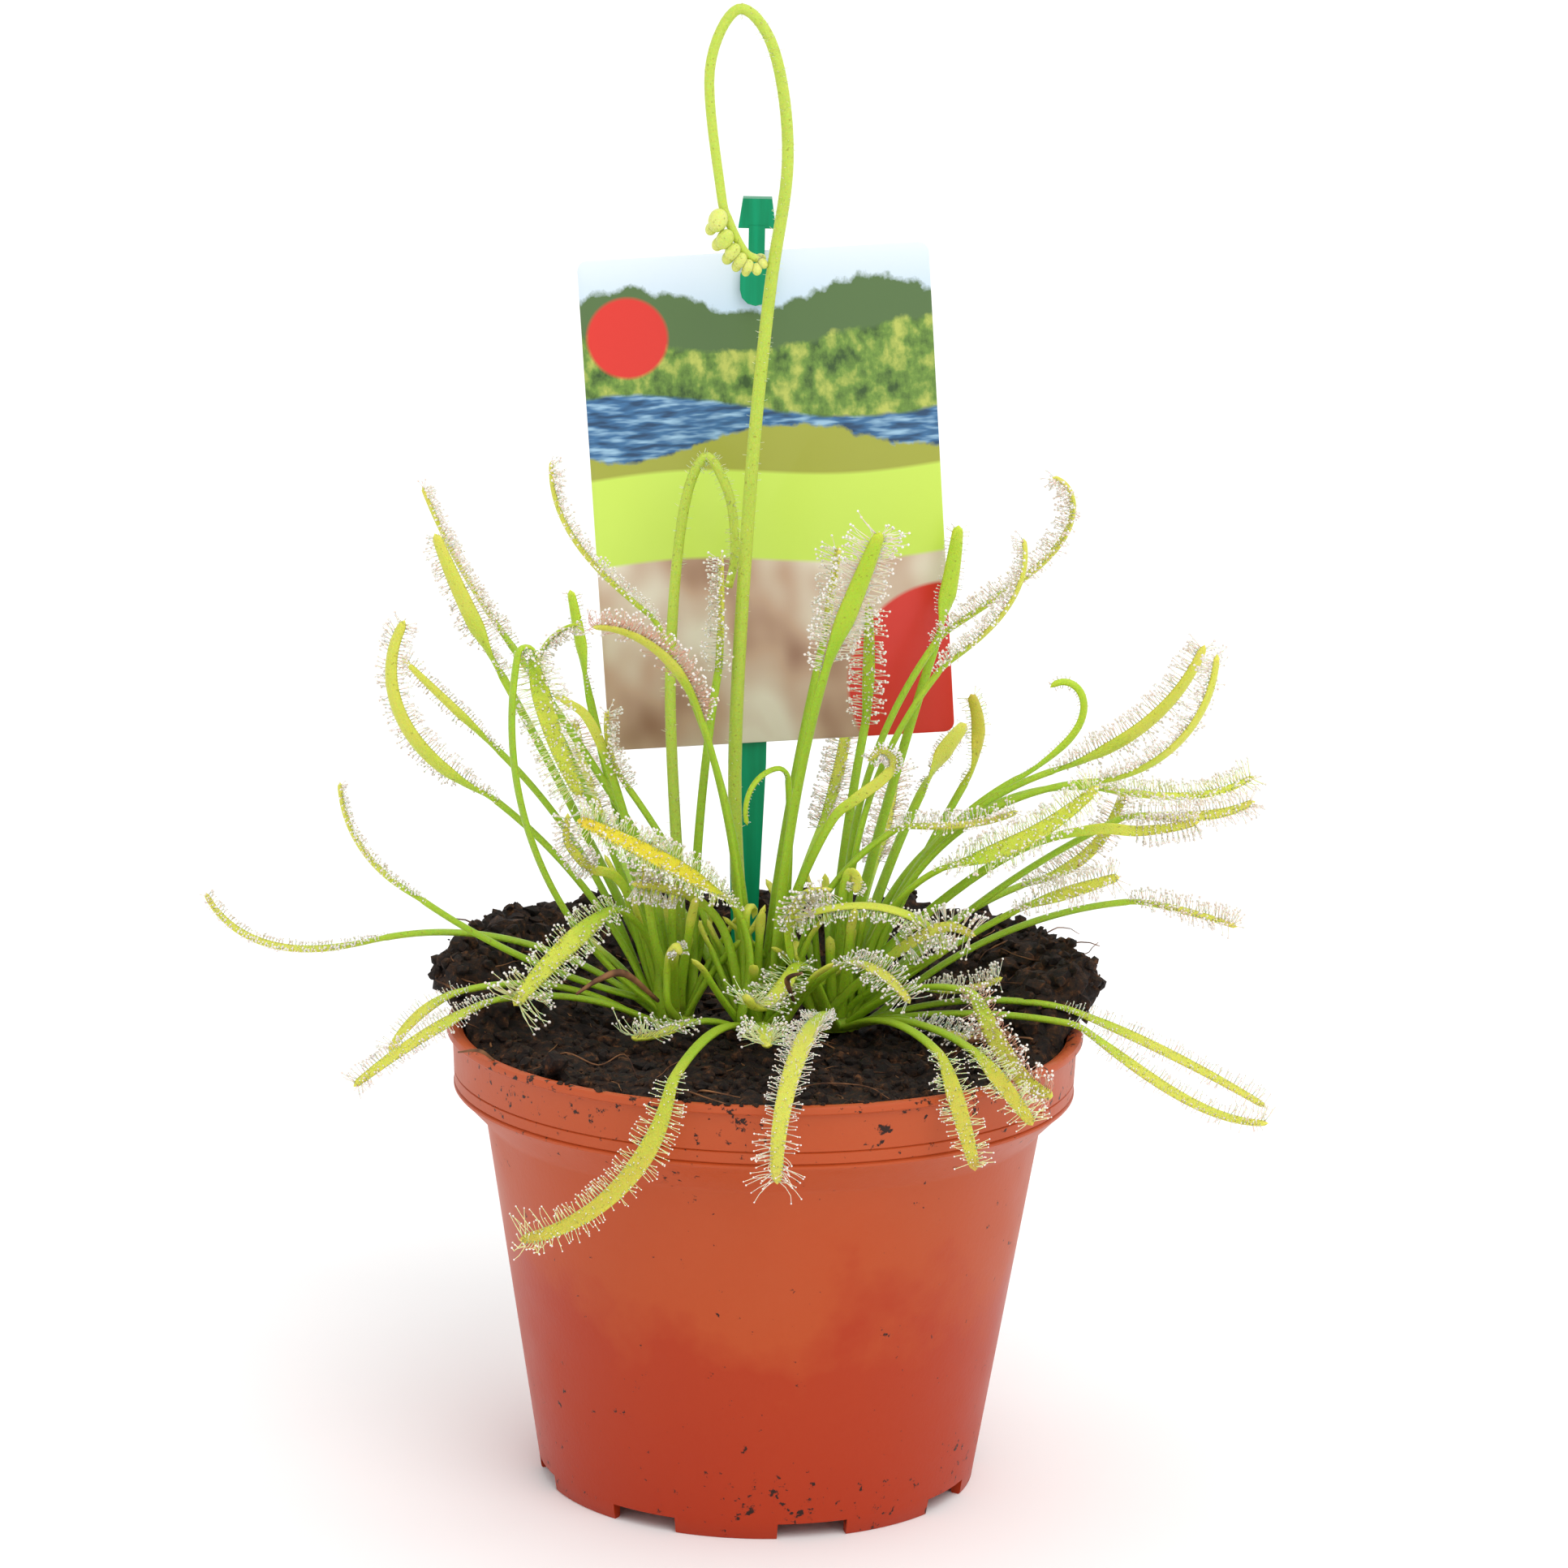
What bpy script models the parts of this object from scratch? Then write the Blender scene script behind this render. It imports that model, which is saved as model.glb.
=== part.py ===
"""Sundew (cape sundew type) in a 9 cm nursery pot, with its label on a stake.

Metres, +Z up, +Y away from the viewer, the pot's feet on z = 0. The lengths below are in millimetres.
"""
import math
import random

import bmesh
import bpy
from mathutils import Matrix, Vector

MM = 0.001
GAP = 0.3

# The leaves reach further to the left than to the right, so the pot stands right of the middle.
POT_OFFSET_X = 4.4

# Pot
POT_HEIGHT = 66.0
RIM_RADIUS = 45.0
LIP_HEIGHT = 1.4
COLLAR_RADIUS = 44.0
COLLAR_DROP = 8.9
BODY_TOP_RADIUS = 39.4
BODY_DROP = 13.5
FOOT_RADIUS = 31.0
FOOT_HEIGHT = 2.8
WALL = 1.1
BASE_THICKNESS = 1.2
FOOT_COUNT = 8
FOOT_NOTCH_DEG = 18.5
FIRST_FOOT_DEG = -97.5
DRAIN_RADIUS = 2.5
DRAIN_RING_RADIUS = 21.0
POT_SEGMENTS = 48

# Peat
PEAT_SEGMENTS = 56
PEAT_CENTRE_Z = 64.4
CRUST_SEED = 7
CRUST_TURN = 0.3
CRUST_RAMP = 0.42

# Crown: three rosettes side by side, each a dome that the leaves leave along its radii
DOME_Z = 65.0
ROSETTES = {"left": (-13.0, 2.0, 6.3), "mid": (-1.5, -1.0, 6.3), "right": (10.0, 2.0, 7.5)}
TAPROOT_RADIUS = 2.4
TAPROOT_DEPTH = 14.0
YOUNG_RADIUS = 0.6
YOUNG_LEAVES = [("left", 262, 9.0, 88), ("right", 205, 8.0, 84)]

# Flower buds: place across and up, radius
BUDS = [(-8.3, 178.5, 1.5), (-8.9, 177.1, 1.25), (-7.3, 175.9, 1.35), (-7.5, 174.7, 1.15), (-6.2, 174.2, 1.2),
        (-5.2, 173.0, 1.15), (-3.9, 172.6, 1.05), (-2.7, 172.4, 0.95)]

# Leaves
PETIOLE_WIDTH = 1.15
PETIOLE_THICKNESS = 0.95
BLADE_THICKNESS = 0.8
PETIOLE_STEPS = 4
BLADE_STEPS = 8
KNEE_BLEND = 3.0
ROLL_RUN = 8.0
TENTACLE_LENGTH = 2.6
TENTACLE_TIP_EXTRA = 1.2
TENTACLE_BASE = 0.34
TENTACLE_CLEARANCE = 1.9

# Label: the card hangs between the stake's strip and the tongue of its clip
CARD_WIDTH = 50.0
CARD_HEIGHT = 71.0
CARD_THICKNESS = 0.6
CARD_CENTRE = (-1.2, 24.0, 137.0)
CARD_TURN_DEG = 4.5
CARD_CORNER = 1.5
STAKE_X = -3.4
STAKE_WIDTH = 5.5
STAKE_THICKNESS = 1.2
STAKE_POINT_Z = 30.0
STAKE_SHOULDER_Z = 62.0
STAKE_STRIP_TOP_Z = 166.0
NECK_WIDTH = 2.3
CLIP_SADDLE_Z = 173.0
CAP_BOTTOM_Z = 175.8
CAP_TOP_Z = 180.0
CAP_BOTTOM_WIDTH = 5.3
CAP_TOP_WIDTH = 4.1
TONGUE_BOTTOM_Z = 164.8
TONGUE_WIDTH = 4.5


def leaf(rosette, azimuth, root, petiole, root_rise, knee_rise, blade, start_rise, tip_rise, curl=1.0,
         width=2.0, veer=0.0, roll=0.0):
    """One leaf. Lengths in mm, angles in degrees.

    Azimuth is 0 to the right, 90 away from the viewer. A rise is the angle above the horizontal; past 90
    the leaf turns back over the crown. The root is the azimuth and rise at which the leaf leaves its dome.
    The blade's rise runs from start to tip along its length to the power curl, and its azimuth turns by
    veer. It rolls about its length, with its upper face to the viewer if roll is positive.
    """
    return dict(rosette=rosette, azimuth=azimuth, root=root, petiole=petiole, root_rise=root_rise,
                knee_rise=knee_rise, blade=blade, start_rise=start_rise, tip_rise=tip_rise, curl=curl,
                width=width, veer=veer, roll=roll)


LEAVES = [
    # Left side, low and spreading
    leaf("left", 170, (165, 30), 38, 34, -14, 30, -17, 66, curl=2.0, width=1.8, roll=15),
    leaf("left", 192, (190, 36), 34, 16, 36, 22, 28, 88, curl=1.2, width=1.8, roll=15),
    leaf("left", 172, (180, 52), 34, 64, 36, 33, 19, 122, curl=1.4, width=2.8, roll=-60),
    leaf("left", 202, (214, 18), 21, 26, -5, 24, -20, -36, width=2.2, roll=30),
    leaf("left", 194, (198, 16), 24, 32, -10, 15, -14, -62, width=2.1, roll=30),
    leaf("left", 216, (230, 60), 14, 92, 32, 22, -24, -46, width=3.0, roll=60),
    # Left side, upright
    leaf("left", 198, (207, 42), 56, 39, 100, 25, 262, 242, width=3.0, roll=60),
    leaf("left", 156, (150, 40), 40, 70, 38, 20, 36, 38, width=1.4, roll=-100),
    leaf("left", 148, (130, 56), 49, 58, 54, 23, 52, 64, width=2.7, roll=-100),
    leaf("mid", 146, (140, 40), 60, 54, 45, 27, 43, 62, width=2.0, roll=-35),
    leaf("mid", 180, (120, 78), 53, 88, 62, 29, 38, 95, curl=2.2, width=2.1),
    leaf("left", 134, (100, 50), 42, 60, 70, 16, 76, 72, width=2.3, roll=-100),
    leaf("left", 153, (160, 72), 44, 67, 58, 14, 80, 165, width=1.4),
    leaf("mid", 205, (215, 70), 40, 90, 70, 23, 66, 4, curl=1.4, width=2.6, roll=-20),
    leaf("left", 60, (0, 66), 44, 92, 74, 17, 84, 96, width=1.7, roll=-40),
    leaf("mid", 168, (165, 60), 32, 70, 52, 12, 50, 98, width=1.7),
    leaf("mid", 15, (20, 60), 30, 82, 94, 13, 100, 285, curl=0.5, width=1.2),
    # Front, short or drooping over the rim
    leaf("mid", 207, (250, 48), 14, 108, 60, 29, 34, 26, width=3.1, roll=55),
    leaf("mid", 256, (258, 18), 37, 18, -10, 33, -64, -10, curl=1.6, width=2.8, veer=-76, roll=45),
    leaf("right", 265, (266, 16), 18, 26, 12, 40, 8, -104, curl=2.0, width=2.9, veer=-12),
    leaf("right", 236, (240, 50), 6, 60, 40, 17, -45, 75, curl=2.5, width=3.2),
    leaf("mid", 272, (280, 20), 12, 18, 8, 12, 5, 0, width=2.6),
    leaf("mid", 222, (226, 18), 6, 20, 0, 11, -20, 10, width=2.6),
    leaf("right", 322, (318, 46), 15, 34, 30, 26, 115, 206, curl=0.6, width=2.8, veer=40),
    leaf("mid", 320, (322, 25), 13, 58, 32, 14, 14, -45, width=1.9, roll=30),
    # Right side, low and spreading
    leaf("right", 345, (338, 38), 7, 36, -2, 12, -8, 32, width=1.7, roll=30),
    leaf("right", 307, (312, 30), 23, 34, 4, 23, -46, 12, curl=3.0, width=2.9, roll=60),
    leaf("right", 349, (352, 16), 24, 20, -6, 33, -18, -28, width=1.9, roll=30),
    leaf("right", 340, (339, 14), 27, 14, -4, 32, -32, 8, curl=3.0, width=1.9, roll=30),
    leaf("right", 291, (291, 16), 31, 22, -8, 19, -40, -50, width=2.5, roll=10),
    leaf("right", 300, (303, 16), 29, 20, -8, 17, -22, -26, width=2.5, roll=20),
    leaf("right", 325, (327, 16), 6, 20, -8, 11, -14, 5, width=1.8, roll=20),
    # Middle, upright
    leaf("mid", 318, (330, 62), 48, 88, 72, 23, 64, 66, width=3.0, roll=-35),
    leaf("mid", 30, (55, 72), 49, 84, 76, 14, 78, 84, width=2.1),
    leaf("right", 60, (110, 76), 35, 84, 70, 18, 82, 98, width=2.1),
    # Right side, upright
    leaf("right", 15, (10, 76), 50, 99, 54, 34, 32, 170, curl=4.5, width=2.2),
    leaf("right", 352, (320, 70), 47, 98, 54, 24, 38, 105, curl=2.2, width=2.3),
    leaf("right", 45, (75, 64), 48, 72, 66, 18, 68, 84, width=2.7, roll=-120),
    leaf("right", 35, (48, 42), 32, 62, 54, 14, 54, 120, width=2.3, roll=-110),
    leaf("right", 52, (66, 46), 29, 66, 50, 14, 50, 28, width=2.8, roll=-120),
    leaf("right", 10, (22, 54), 37, 80, 28, 22, 34, 230, curl=3.0, width=1.6, roll=-55),
    leaf("right", 0, (2, 56), 42, 82, 20, 29, 18, 72, curl=1.3, width=2.4, roll=-60),
    leaf("right", 350, (348, 52), 47, 84, 8, 28, 6, 90, width=2.4, roll=-20),
    leaf("right", 20, (40, 58), 47, 80, -6, 27, -12, 30, curl=2.5, width=1.8, roll=25),
    leaf("right", 335, (335, 58), 22, 86, 30, 28, 14, 48, width=3.0, roll=60),
    leaf("mid", 352, (5, 40), 30, 88, 34, 18, 0, 28, curl=2.0, width=2.3, roll=10),
    leaf("right", 5, (8, 38), 42, 48, 26, 20, -4, 30, curl=2.5, width=2.3, roll=30),
    leaf("right", 28, (26, 34), 27, 46, 14, 23, 0, 80, curl=1.2, width=2.4, roll=20),
    leaf("right", 350, (354, 36), 23, 42, 30, 16, 20, 22, width=2.6, roll=40),
    leaf("right", 10, (8, 20), 38, 42, 4, 17, -10, -20, width=1.5, roll=30),
    # Back, hidden behind the label
    leaf("left", 110, (95, 22), 32, 40, 20, 25, 15, 60, width=2.0),
    leaf("mid", 75, (75, 30), 34, 40, 25, 27, 20, 75, width=2.0),
    leaf("right", 80, (80, 30), 28, 38, 15, 22, 10, 50, width=2.0),
]


def direction(azimuth, rise):
    """Unit vector at the given azimuth and rise in degrees."""
    a = math.radians(azimuth)
    r = math.radians(rise)
    return Vector((math.cos(r) * math.cos(a), math.cos(r) * math.sin(a), math.sin(r)))


def leaf_angles(spec, s):
    """Azimuth and rise of a leaf at the arc length s from its root."""
    azimuth = spec["azimuth"]
    if s <= spec["petiole"]:
        t = s / spec["petiole"]
        return azimuth, spec["root_rise"] + (spec["knee_rise"] - spec["root_rise"]) * t
    t = min((s - spec["petiole"]) / spec["blade"], 1.0)
    rise = spec["start_rise"] + (spec["tip_rise"] - spec["start_rise"]) * t ** spec["curl"]
    blend = min((s - spec["petiole"]) / KNEE_BLEND, 1.0)
    azimuth += spec["veer"] * math.sin(t * math.pi / 2)
    return azimuth, spec["knee_rise"] * (1.0 - blend) + rise * blend


def leaf_face(spec, s, tangent, normal):
    """Side and upper normal of a leaf, rolled past the knee."""
    grown = min(max((s - spec["petiole"]) / ROLL_RUN, 0.0), 1.0)
    angle = math.radians(spec["roll"]) * grown * (1 if math.cos(math.radians(spec["azimuth"])) > 0 else -1)
    normal = normal * math.cos(angle) + tangent.cross(normal) * math.sin(angle)
    return tangent.cross(normal), normal


def leaf_route(spec, substeps=6):
    """Frames along a leaf: (position, tangent, side, upper normal, share of the blade or None)."""
    cx, cy, dome_radius = ROSETTES[spec["rosette"]]
    total = spec["petiole"] + spec["blade"]
    stations = [spec["petiole"] * i / PETIOLE_STEPS for i in range(PETIOLE_STEPS)]
    stations += [spec["petiole"] + spec["blade"] * i / BLADE_STEPS for i in range(BLADE_STEPS + 1)]
    position = Vector((cx, cy, DOME_Z)) + direction(*spec["root"]) * (dome_radius + GAP)
    frames = []
    s = 0.0
    for station in stations:
        step = (station - s) / substeps
        for _ in range(substeps):
            azimuth, rise = leaf_angles(spec, s + step / 2)
            position = position + direction(azimuth, rise) * step
            s += step
        azimuth, rise = leaf_angles(spec, min(s, total))
        tangent = direction(azimuth, rise)
        share = None if s < spec["petiole"] - 1e-6 else (s - spec["petiole"]) / spec["blade"]
        face = leaf_face(spec, s, tangent, direction(azimuth, rise + 90))
        frames.append((position.copy(), tangent, *face, share))
    return frames


def material(name, colour, roughness=0.5, metallic=0.0):
    """Principled material with a linear colour."""
    made = bpy.data.materials.new(name)
    made.use_nodes = True
    shader = made.node_tree.nodes["Principled BSDF"]
    shader.inputs["Base Color"].default_value = (*colour, 1.0)
    shader.inputs["Roughness"].default_value = roughness
    shader.inputs["Metallic"].default_value = metallic
    return made


def finish(bm, name, look):
    """Make an object of a mesh modelled in mm about the pot's axis."""
    bmesh.ops.transform(bm, matrix=Matrix.Translation((POT_OFFSET_X, 0, 0)), verts=bm.verts)
    bmesh.ops.scale(bm, vec=(MM, MM, MM), verts=bm.verts)
    bmesh.ops.recalc_face_normals(bm, faces=bm.faces)
    mesh = bpy.data.meshes.new(name)
    bm.to_mesh(mesh)
    bm.free()
    mesh.materials.append(look)
    mesh.shade_smooth()
    mesh.set_sharp_from_angle(angle=math.radians(40))
    made = bpy.data.objects.new(name, mesh)
    bpy.context.scene.collection.objects.link(made)
    return made


def boolean(target, cutters, operation):
    """Apply one Boolean of a list of objects to the target and remove them."""
    group = bpy.data.collections.new("operands")
    bpy.context.scene.collection.children.link(group)
    for cutter in cutters:
        group.objects.link(cutter)
    modifier = target.modifiers.new("join", "BOOLEAN")
    modifier.operation = operation
    modifier.operand_type = "COLLECTION"
    modifier.collection = group
    modifier.solver = "EXACT"
    depsgraph = bpy.context.evaluated_depsgraph_get()
    result = bpy.data.meshes.new_from_object(target.evaluated_get(depsgraph))
    target.modifiers.clear()
    target.data = result
    for cutter in cutters:
        bpy.data.objects.remove(cutter)
    bpy.data.collections.remove(group)


def box(name, low, high, look):
    """Box between two corners."""
    bm = bmesh.new()
    bmesh.ops.create_cube(bm, size=1.0)
    size = [b - a for a, b in zip(low, high)]
    centre = [(a + b) / 2 for a, b in zip(low, high)]
    bmesh.ops.scale(bm, vec=size, verts=bm.verts)
    bmesh.ops.translate(bm, vec=centre, verts=bm.verts)
    return finish(bm, name, look)


def upright_cylinder(name, x, y, z_low, z_high, radius, sides, look):
    """Cylinder along Z."""
    bm = bmesh.new()
    bmesh.ops.create_cone(bm, cap_ends=True, segments=sides, radius1=radius, radius2=radius,
                          depth=z_high - z_low)
    bmesh.ops.translate(bm, vec=(x, y, (z_low + z_high) / 2), verts=bm.verts)
    return finish(bm, name, look)


def ring_skin(bm, rings):
    """Bridge rings of points into one closed skin; the last item may be a single point."""
    loops = [[bm.verts.new(p) for p in ring] for ring in rings]
    for low, high in zip(loops, loops[1:]):
        count = len(low)
        for k in range(count):
            j = (k + 1) % count
            if len(high) == 1:
                bm.faces.new((low[k], low[j], high[0]))
            else:
                bm.faces.new((low[k], low[j], high[j], high[k]))
    bm.faces.new(list(reversed(loops[0])))
    if len(loops[-1]) > 1:
        bm.faces.new(loops[-1])
    return loops


def smooth_path(points, per_span):
    """Catmull-Rom curve through points."""
    padded = [points[0] * 2 - points[1]] + points + [points[-1] * 2 - points[-2]]
    route = []
    for i in range(1, len(padded) - 2):
        a, b, c, d = padded[i - 1:i + 3]
        for k in range(per_span):
            t = k / per_span
            route.append(0.5 * (2 * b + (c - a) * t + (2 * a - 5 * b + 4 * c - d) * t * t
                                + (3 * b - a - 3 * c + d) * t ** 3))
    route.append(points[-1])
    return route


def tube_rings(route, radii, sides):
    """Rings across a route, carried along without twist."""
    side = Vector((0, 1, 0))
    rings = []
    for i, point in enumerate(route):
        ahead = route[min(i + 1, len(route) - 1)]
        behind = route[max(i - 1, 0)]
        tangent = (ahead - behind).normalized()
        side = (side - tangent * side.dot(tangent)).normalized()
        other = tangent.cross(side)
        ring = []
        for k in range(sides):
            angle = 2 * math.pi * k / sides
            ring.append(point + (side * math.cos(angle) + other * math.sin(angle)) * radii[i])
        rings.append(ring)
    return rings


def make_pot():
    """Turned shell with a lip, a collar, a step, a tapered body and a foot ring cut into feet."""
    look = material("terracotta_plastic", (0.55, 0.09, 0.035), 0.42)
    collar_z = POT_HEIGHT - COLLAR_DROP
    body_z = POT_HEIGHT - BODY_DROP
    lip_z = POT_HEIGHT - LIP_HEIGHT
    inner_foot = FOOT_RADIUS - WALL - 0.3
    plate_low = FOOT_HEIGHT - 0.4
    plate_high = plate_low + BASE_THICKNESS
    profile = [
        (0, plate_low), (inner_foot, plate_low), (inner_foot, 0), (FOOT_RADIUS, 0),
        (FOOT_RADIUS + 0.4, FOOT_HEIGHT), (BODY_TOP_RADIUS, body_z), (COLLAR_RADIUS - 0.2, collar_z),
        (COLLAR_RADIUS + 0.2, lip_z), (RIM_RADIUS, lip_z + 0.3), (RIM_RADIUS, POT_HEIGHT - 0.5),
        (RIM_RADIUS - 0.5, POT_HEIGHT), (RIM_RADIUS - 1.3, POT_HEIGHT),
        (COLLAR_RADIUS - 0.1 - WALL, POT_HEIGHT - 0.6), (COLLAR_RADIUS - 0.4 - WALL, collar_z + 0.4),
        (BODY_TOP_RADIUS - 0.1 - WALL, body_z - 0.2), (FOOT_RADIUS - 0.2 - WALL, plate_high), (0, plate_high),
    ]
    bm = bmesh.new()
    first = [bm.verts.new((r, 0, z)) for r, z in profile]
    edges = [bm.edges.new(pair) for pair in zip(first, first[1:])]
    bmesh.ops.spin(bm, geom=first + edges, cent=(0, 0, 0), axis=(0, 0, 1), angle=2 * math.pi,
                   steps=POT_SEGMENTS, use_duplicate=False)
    bmesh.ops.remove_doubles(bm, verts=bm.verts, dist=0.01)
    pot = finish(bm, "pot", look)
    cutters = []
    for k in range(FOOT_COUNT):
        angle = math.radians(FIRST_FOOT_DEG + 360 / FOOT_COUNT * (k + 0.5))
        half = FOOT_RADIUS * math.sin(math.radians(FOOT_NOTCH_DEG / 2))
        bm = bmesh.new()
        bmesh.ops.create_cube(bm, size=1.0)
        bmesh.ops.scale(bm, vec=(6, 2 * half, 2 * plate_low - 0.2), verts=bm.verts)
        bmesh.ops.translate(bm, vec=(FOOT_RADIUS, 0, 0), verts=bm.verts)
        bmesh.ops.rotate(bm, matrix=Matrix.Rotation(angle, 3, "Z"), verts=bm.verts)
        cutters.append(finish(bm, "notch", look))
        x = DRAIN_RING_RADIUS * math.cos(angle)
        y = DRAIN_RING_RADIUS * math.sin(angle)
        cutters.append(upright_cylinder("drain", x, y, 0, 2 * FOOT_HEIGHT, DRAIN_RADIUS, 10, look))
    cutters.append(upright_cylinder("drain", 0, 0, 0, 2 * FOOT_HEIGHT, DRAIN_RADIUS, 10, look))
    boolean(pot, cutters, "DIFFERENCE")
    return pot


def crust_share(angle_deg):
    """How far the crust stands proud at an azimuth: 1 at the back and sides, 0 at the front."""
    t = (math.sin(math.radians(angle_deg)) + CRUST_TURN) / CRUST_RAMP
    t = min(max(t, 0.0), 1.0)
    return t * t * (3 - 2 * t)


def crust_point(low, level, proud, share):
    """Point of the crust: it rises inside the rim to the level stage, then leans out over the rim."""
    if share < 0.5:
        return Vector(low).lerp(Vector(level), share * 2)
    return Vector(level).lerp(Vector(proud), share * 2 - 1)


def make_peat():
    """Peat block: it fills the pot, and its crust rises over the rim all round but at the front."""
    look = material("peat", (0.02, 0.011, 0.007), 0.95)
    rng = random.Random(CRUST_SEED)
    stages = [
        ((42.2, 60.6), (42.4, 66.4), (42.5, 66.4)), ((42.1, 61.6), (42.3, 67.1), (46.4, 67.8)),
        ((41.9, 62.9), (42.2, 68.6), (48.2, 71.2)), ((40.6, 63.9), (41.4, 69.8), (46.6, 74.4)),
        ((37.0, 64.6), (38.0, 69.4), (42.0, 73.4)), ((31.0, 64.4), (31.5, 66.0), (34.5, 68.6)),
    ]
    rings = [[] for _ in range(11)]
    for k in range(PEAT_SEGMENTS):
        degrees = 360 * k / PEAT_SEGMENTS
        share = crust_share(degrees)
        column = [Vector((29.2, 4.0)), Vector((37.6, 52.0)), Vector((42.1, 57.6))]
        for i, (low, level, proud) in enumerate(stages):
            point = crust_point(low, level, proud, share)
            if i > 1:
                point += Vector((rng.uniform(-0.8, 0.0), rng.uniform(-0.7, 0.7)))
            column.append(point)
        column.append(Vector((24.0, PEAT_CENTRE_Z + rng.uniform(-0.2, 0.2))))
        column.append(Vector((17.5, PEAT_CENTRE_Z)))
        angle = math.radians(degrees)
        for ring, point in zip(rings, column):
            ring.append(Vector((point.x * math.cos(angle), point.x * math.sin(angle), point.y)))
    bm = bmesh.new()
    ring_skin(bm, rings)
    peat = finish(bm, "peat", look)
    holes = []
    for x, y, _ in ROSETTES.values():
        holes.append(upright_cylinder("hole", x, y, DOME_Z - TAPROOT_DEPTH - GAP, DOME_Z + 5,
                                      TAPROOT_RADIUS + GAP, 8, look))
    half = STAKE_WIDTH / 2 + GAP
    back = CARD_CENTRE[1] + CARD_THICKNESS / 2 + GAP
    holes.append(box("slot", (STAKE_X - half, back - GAP, STAKE_POINT_Z - 1),
                     (STAKE_X + half, back + STAKE_THICKNESS + GAP, 80), look))
    boolean(peat, holes, "DIFFERENCE")
    return peat


def make_crown():
    """Three domes on taproots, grown together, with rolled young leaves on them."""
    look = material("leaf_green", (0.30, 0.48, 0.03), 0.5)
    parts = []
    low = PEAT_CENTRE_Z + GAP
    for x, y, radius in ROSETTES.values():
        bm = bmesh.new()
        bmesh.ops.create_uvsphere(bm, u_segments=10, v_segments=8, radius=radius)
        cut = bmesh.ops.bisect_plane(bm, geom=bm.verts[:] + bm.edges[:] + bm.faces[:],
                                     plane_co=(0, 0, low - DOME_Z), plane_no=(0, 0, -1), clear_outer=True)
        rim = [e for e in cut["geom_cut"] if isinstance(e, bmesh.types.BMEdge)]
        bmesh.ops.contextual_create(bm, geom=rim)
        bmesh.ops.translate(bm, vec=(x, y, DOME_Z), verts=bm.verts)
        parts.append(finish(bm, "dome", look))
        parts.append(upright_cylinder("taproot", x, y, DOME_Z - TAPROOT_DEPTH, DOME_Z + 1,
                                      TAPROOT_RADIUS, 8, look))
    for rosette, azimuth, length, rise in YOUNG_LEAVES:
        x, y, radius = ROSETTES[rosette]
        start = Vector((x, y, DOME_Z)) + direction(azimuth, 78) * (radius - 1.0)
        knee = start + direction(azimuth, rise) * length
        top = knee + direction(azimuth, 60) * 1.6
        end = top + direction(azimuth, -70) * 2.0
        route = smooth_path([start, (start + knee) / 2, knee, top, end], 2)
        bm = bmesh.new()
        ring_skin(bm, tube_rings(route, [YOUNG_RADIUS] * len(route), 5))
        parts.append(finish(bm, "young_leaf", look))
    crown = parts.pop(0)
    crown.name = "crown"
    boolean(crown, parts, "UNION")
    return crown


def leaf_ring(frame, spec):
    """Four-sided section of a leaf: right edge, upper rib, left edge, lower rib."""
    position, _, side, normal, share = frame
    if share is None:
        half, thick = PETIOLE_WIDTH / 2, PETIOLE_THICKNESS / 2
    else:
        swell = min(share * 5, 1.0)
        taper = 1.0 - 0.45 * share ** 3
        half = (PETIOLE_WIDTH + (spec["width"] - PETIOLE_WIDTH) * swell) / 2 * taper
        thick = BLADE_THICKNESS / 2
    return [position + side * half, position + normal * thick, position - side * half,
            position - normal * thick]


def tentacle(bm, face, outward, length):
    """Raise a slender spike from a face of the blade."""
    centre = face.calc_center_median()
    bmesh.ops.inset_individual(bm, faces=[face], thickness=0.05)
    for vert in face.verts:
        away = vert.co - centre
        vert.co = centre + away.normalized() * TENTACLE_BASE / 2
    tip = bmesh.ops.poke(bm, faces=[face])["verts"][0]
    tip.co = centre + outward * length


def make_leaf(index, spec, routes, look):
    """Smooth petiole and a strap-like blade with tentacles all round, longest at the tip."""
    frames = routes[index]
    bm = bmesh.new()
    rings = [leaf_ring(frame, spec) for frame in frames]
    last_position, last_tangent = frames[-1][0], frames[-1][1]
    rings.append([last_position + last_tangent * 0.7])
    loops = ring_skin(bm, rings)
    bm.verts.index_update()
    strips = []
    for i in range(PETIOLE_STEPS, len(frames) - 1):
        for k in range(4):
            corners = {loops[i][k], loops[i][(k + 1) % 4], loops[i + 1][(k + 1) % 4], loops[i + 1][k]}
            face = next(f for f in loops[i][k].link_faces if set(f.verts) == corners)
            strips.append((i - PETIOLE_STEPS, k, face, frames[i]))
    others = [f[0] for j, route in enumerate(routes) if j != index for f in route]
    wanted = {(0, 0), (1, 1), (2, 3), (3, 0), (4, 1), (5, 2), (6, 0), (7, 1), (7, 3)}
    for i, k, face, frame in strips:
        if (i, k) not in wanted:
            continue
        sign = 1 if k in (0, 3) else -1
        lift = 0.75 if k in (0, 1) else -0.5
        outward = (frame[2] * sign + frame[3] * lift + frame[1] * 0.25).normalized()
        length = TENTACLE_LENGTH + TENTACLE_TIP_EXTRA * (i / BLADE_STEPS) ** 2
        tip = face.calc_center_median() + outward * length
        middle = face.calc_center_median() + outward * length / 2
        if all(min((tip - o).length, (middle - o).length) > TENTACLE_CLEARANCE for o in others):
            tentacle(bm, face, outward, length)
    return finish(bm, f"leaf_{index + 1:02d}", look)


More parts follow.
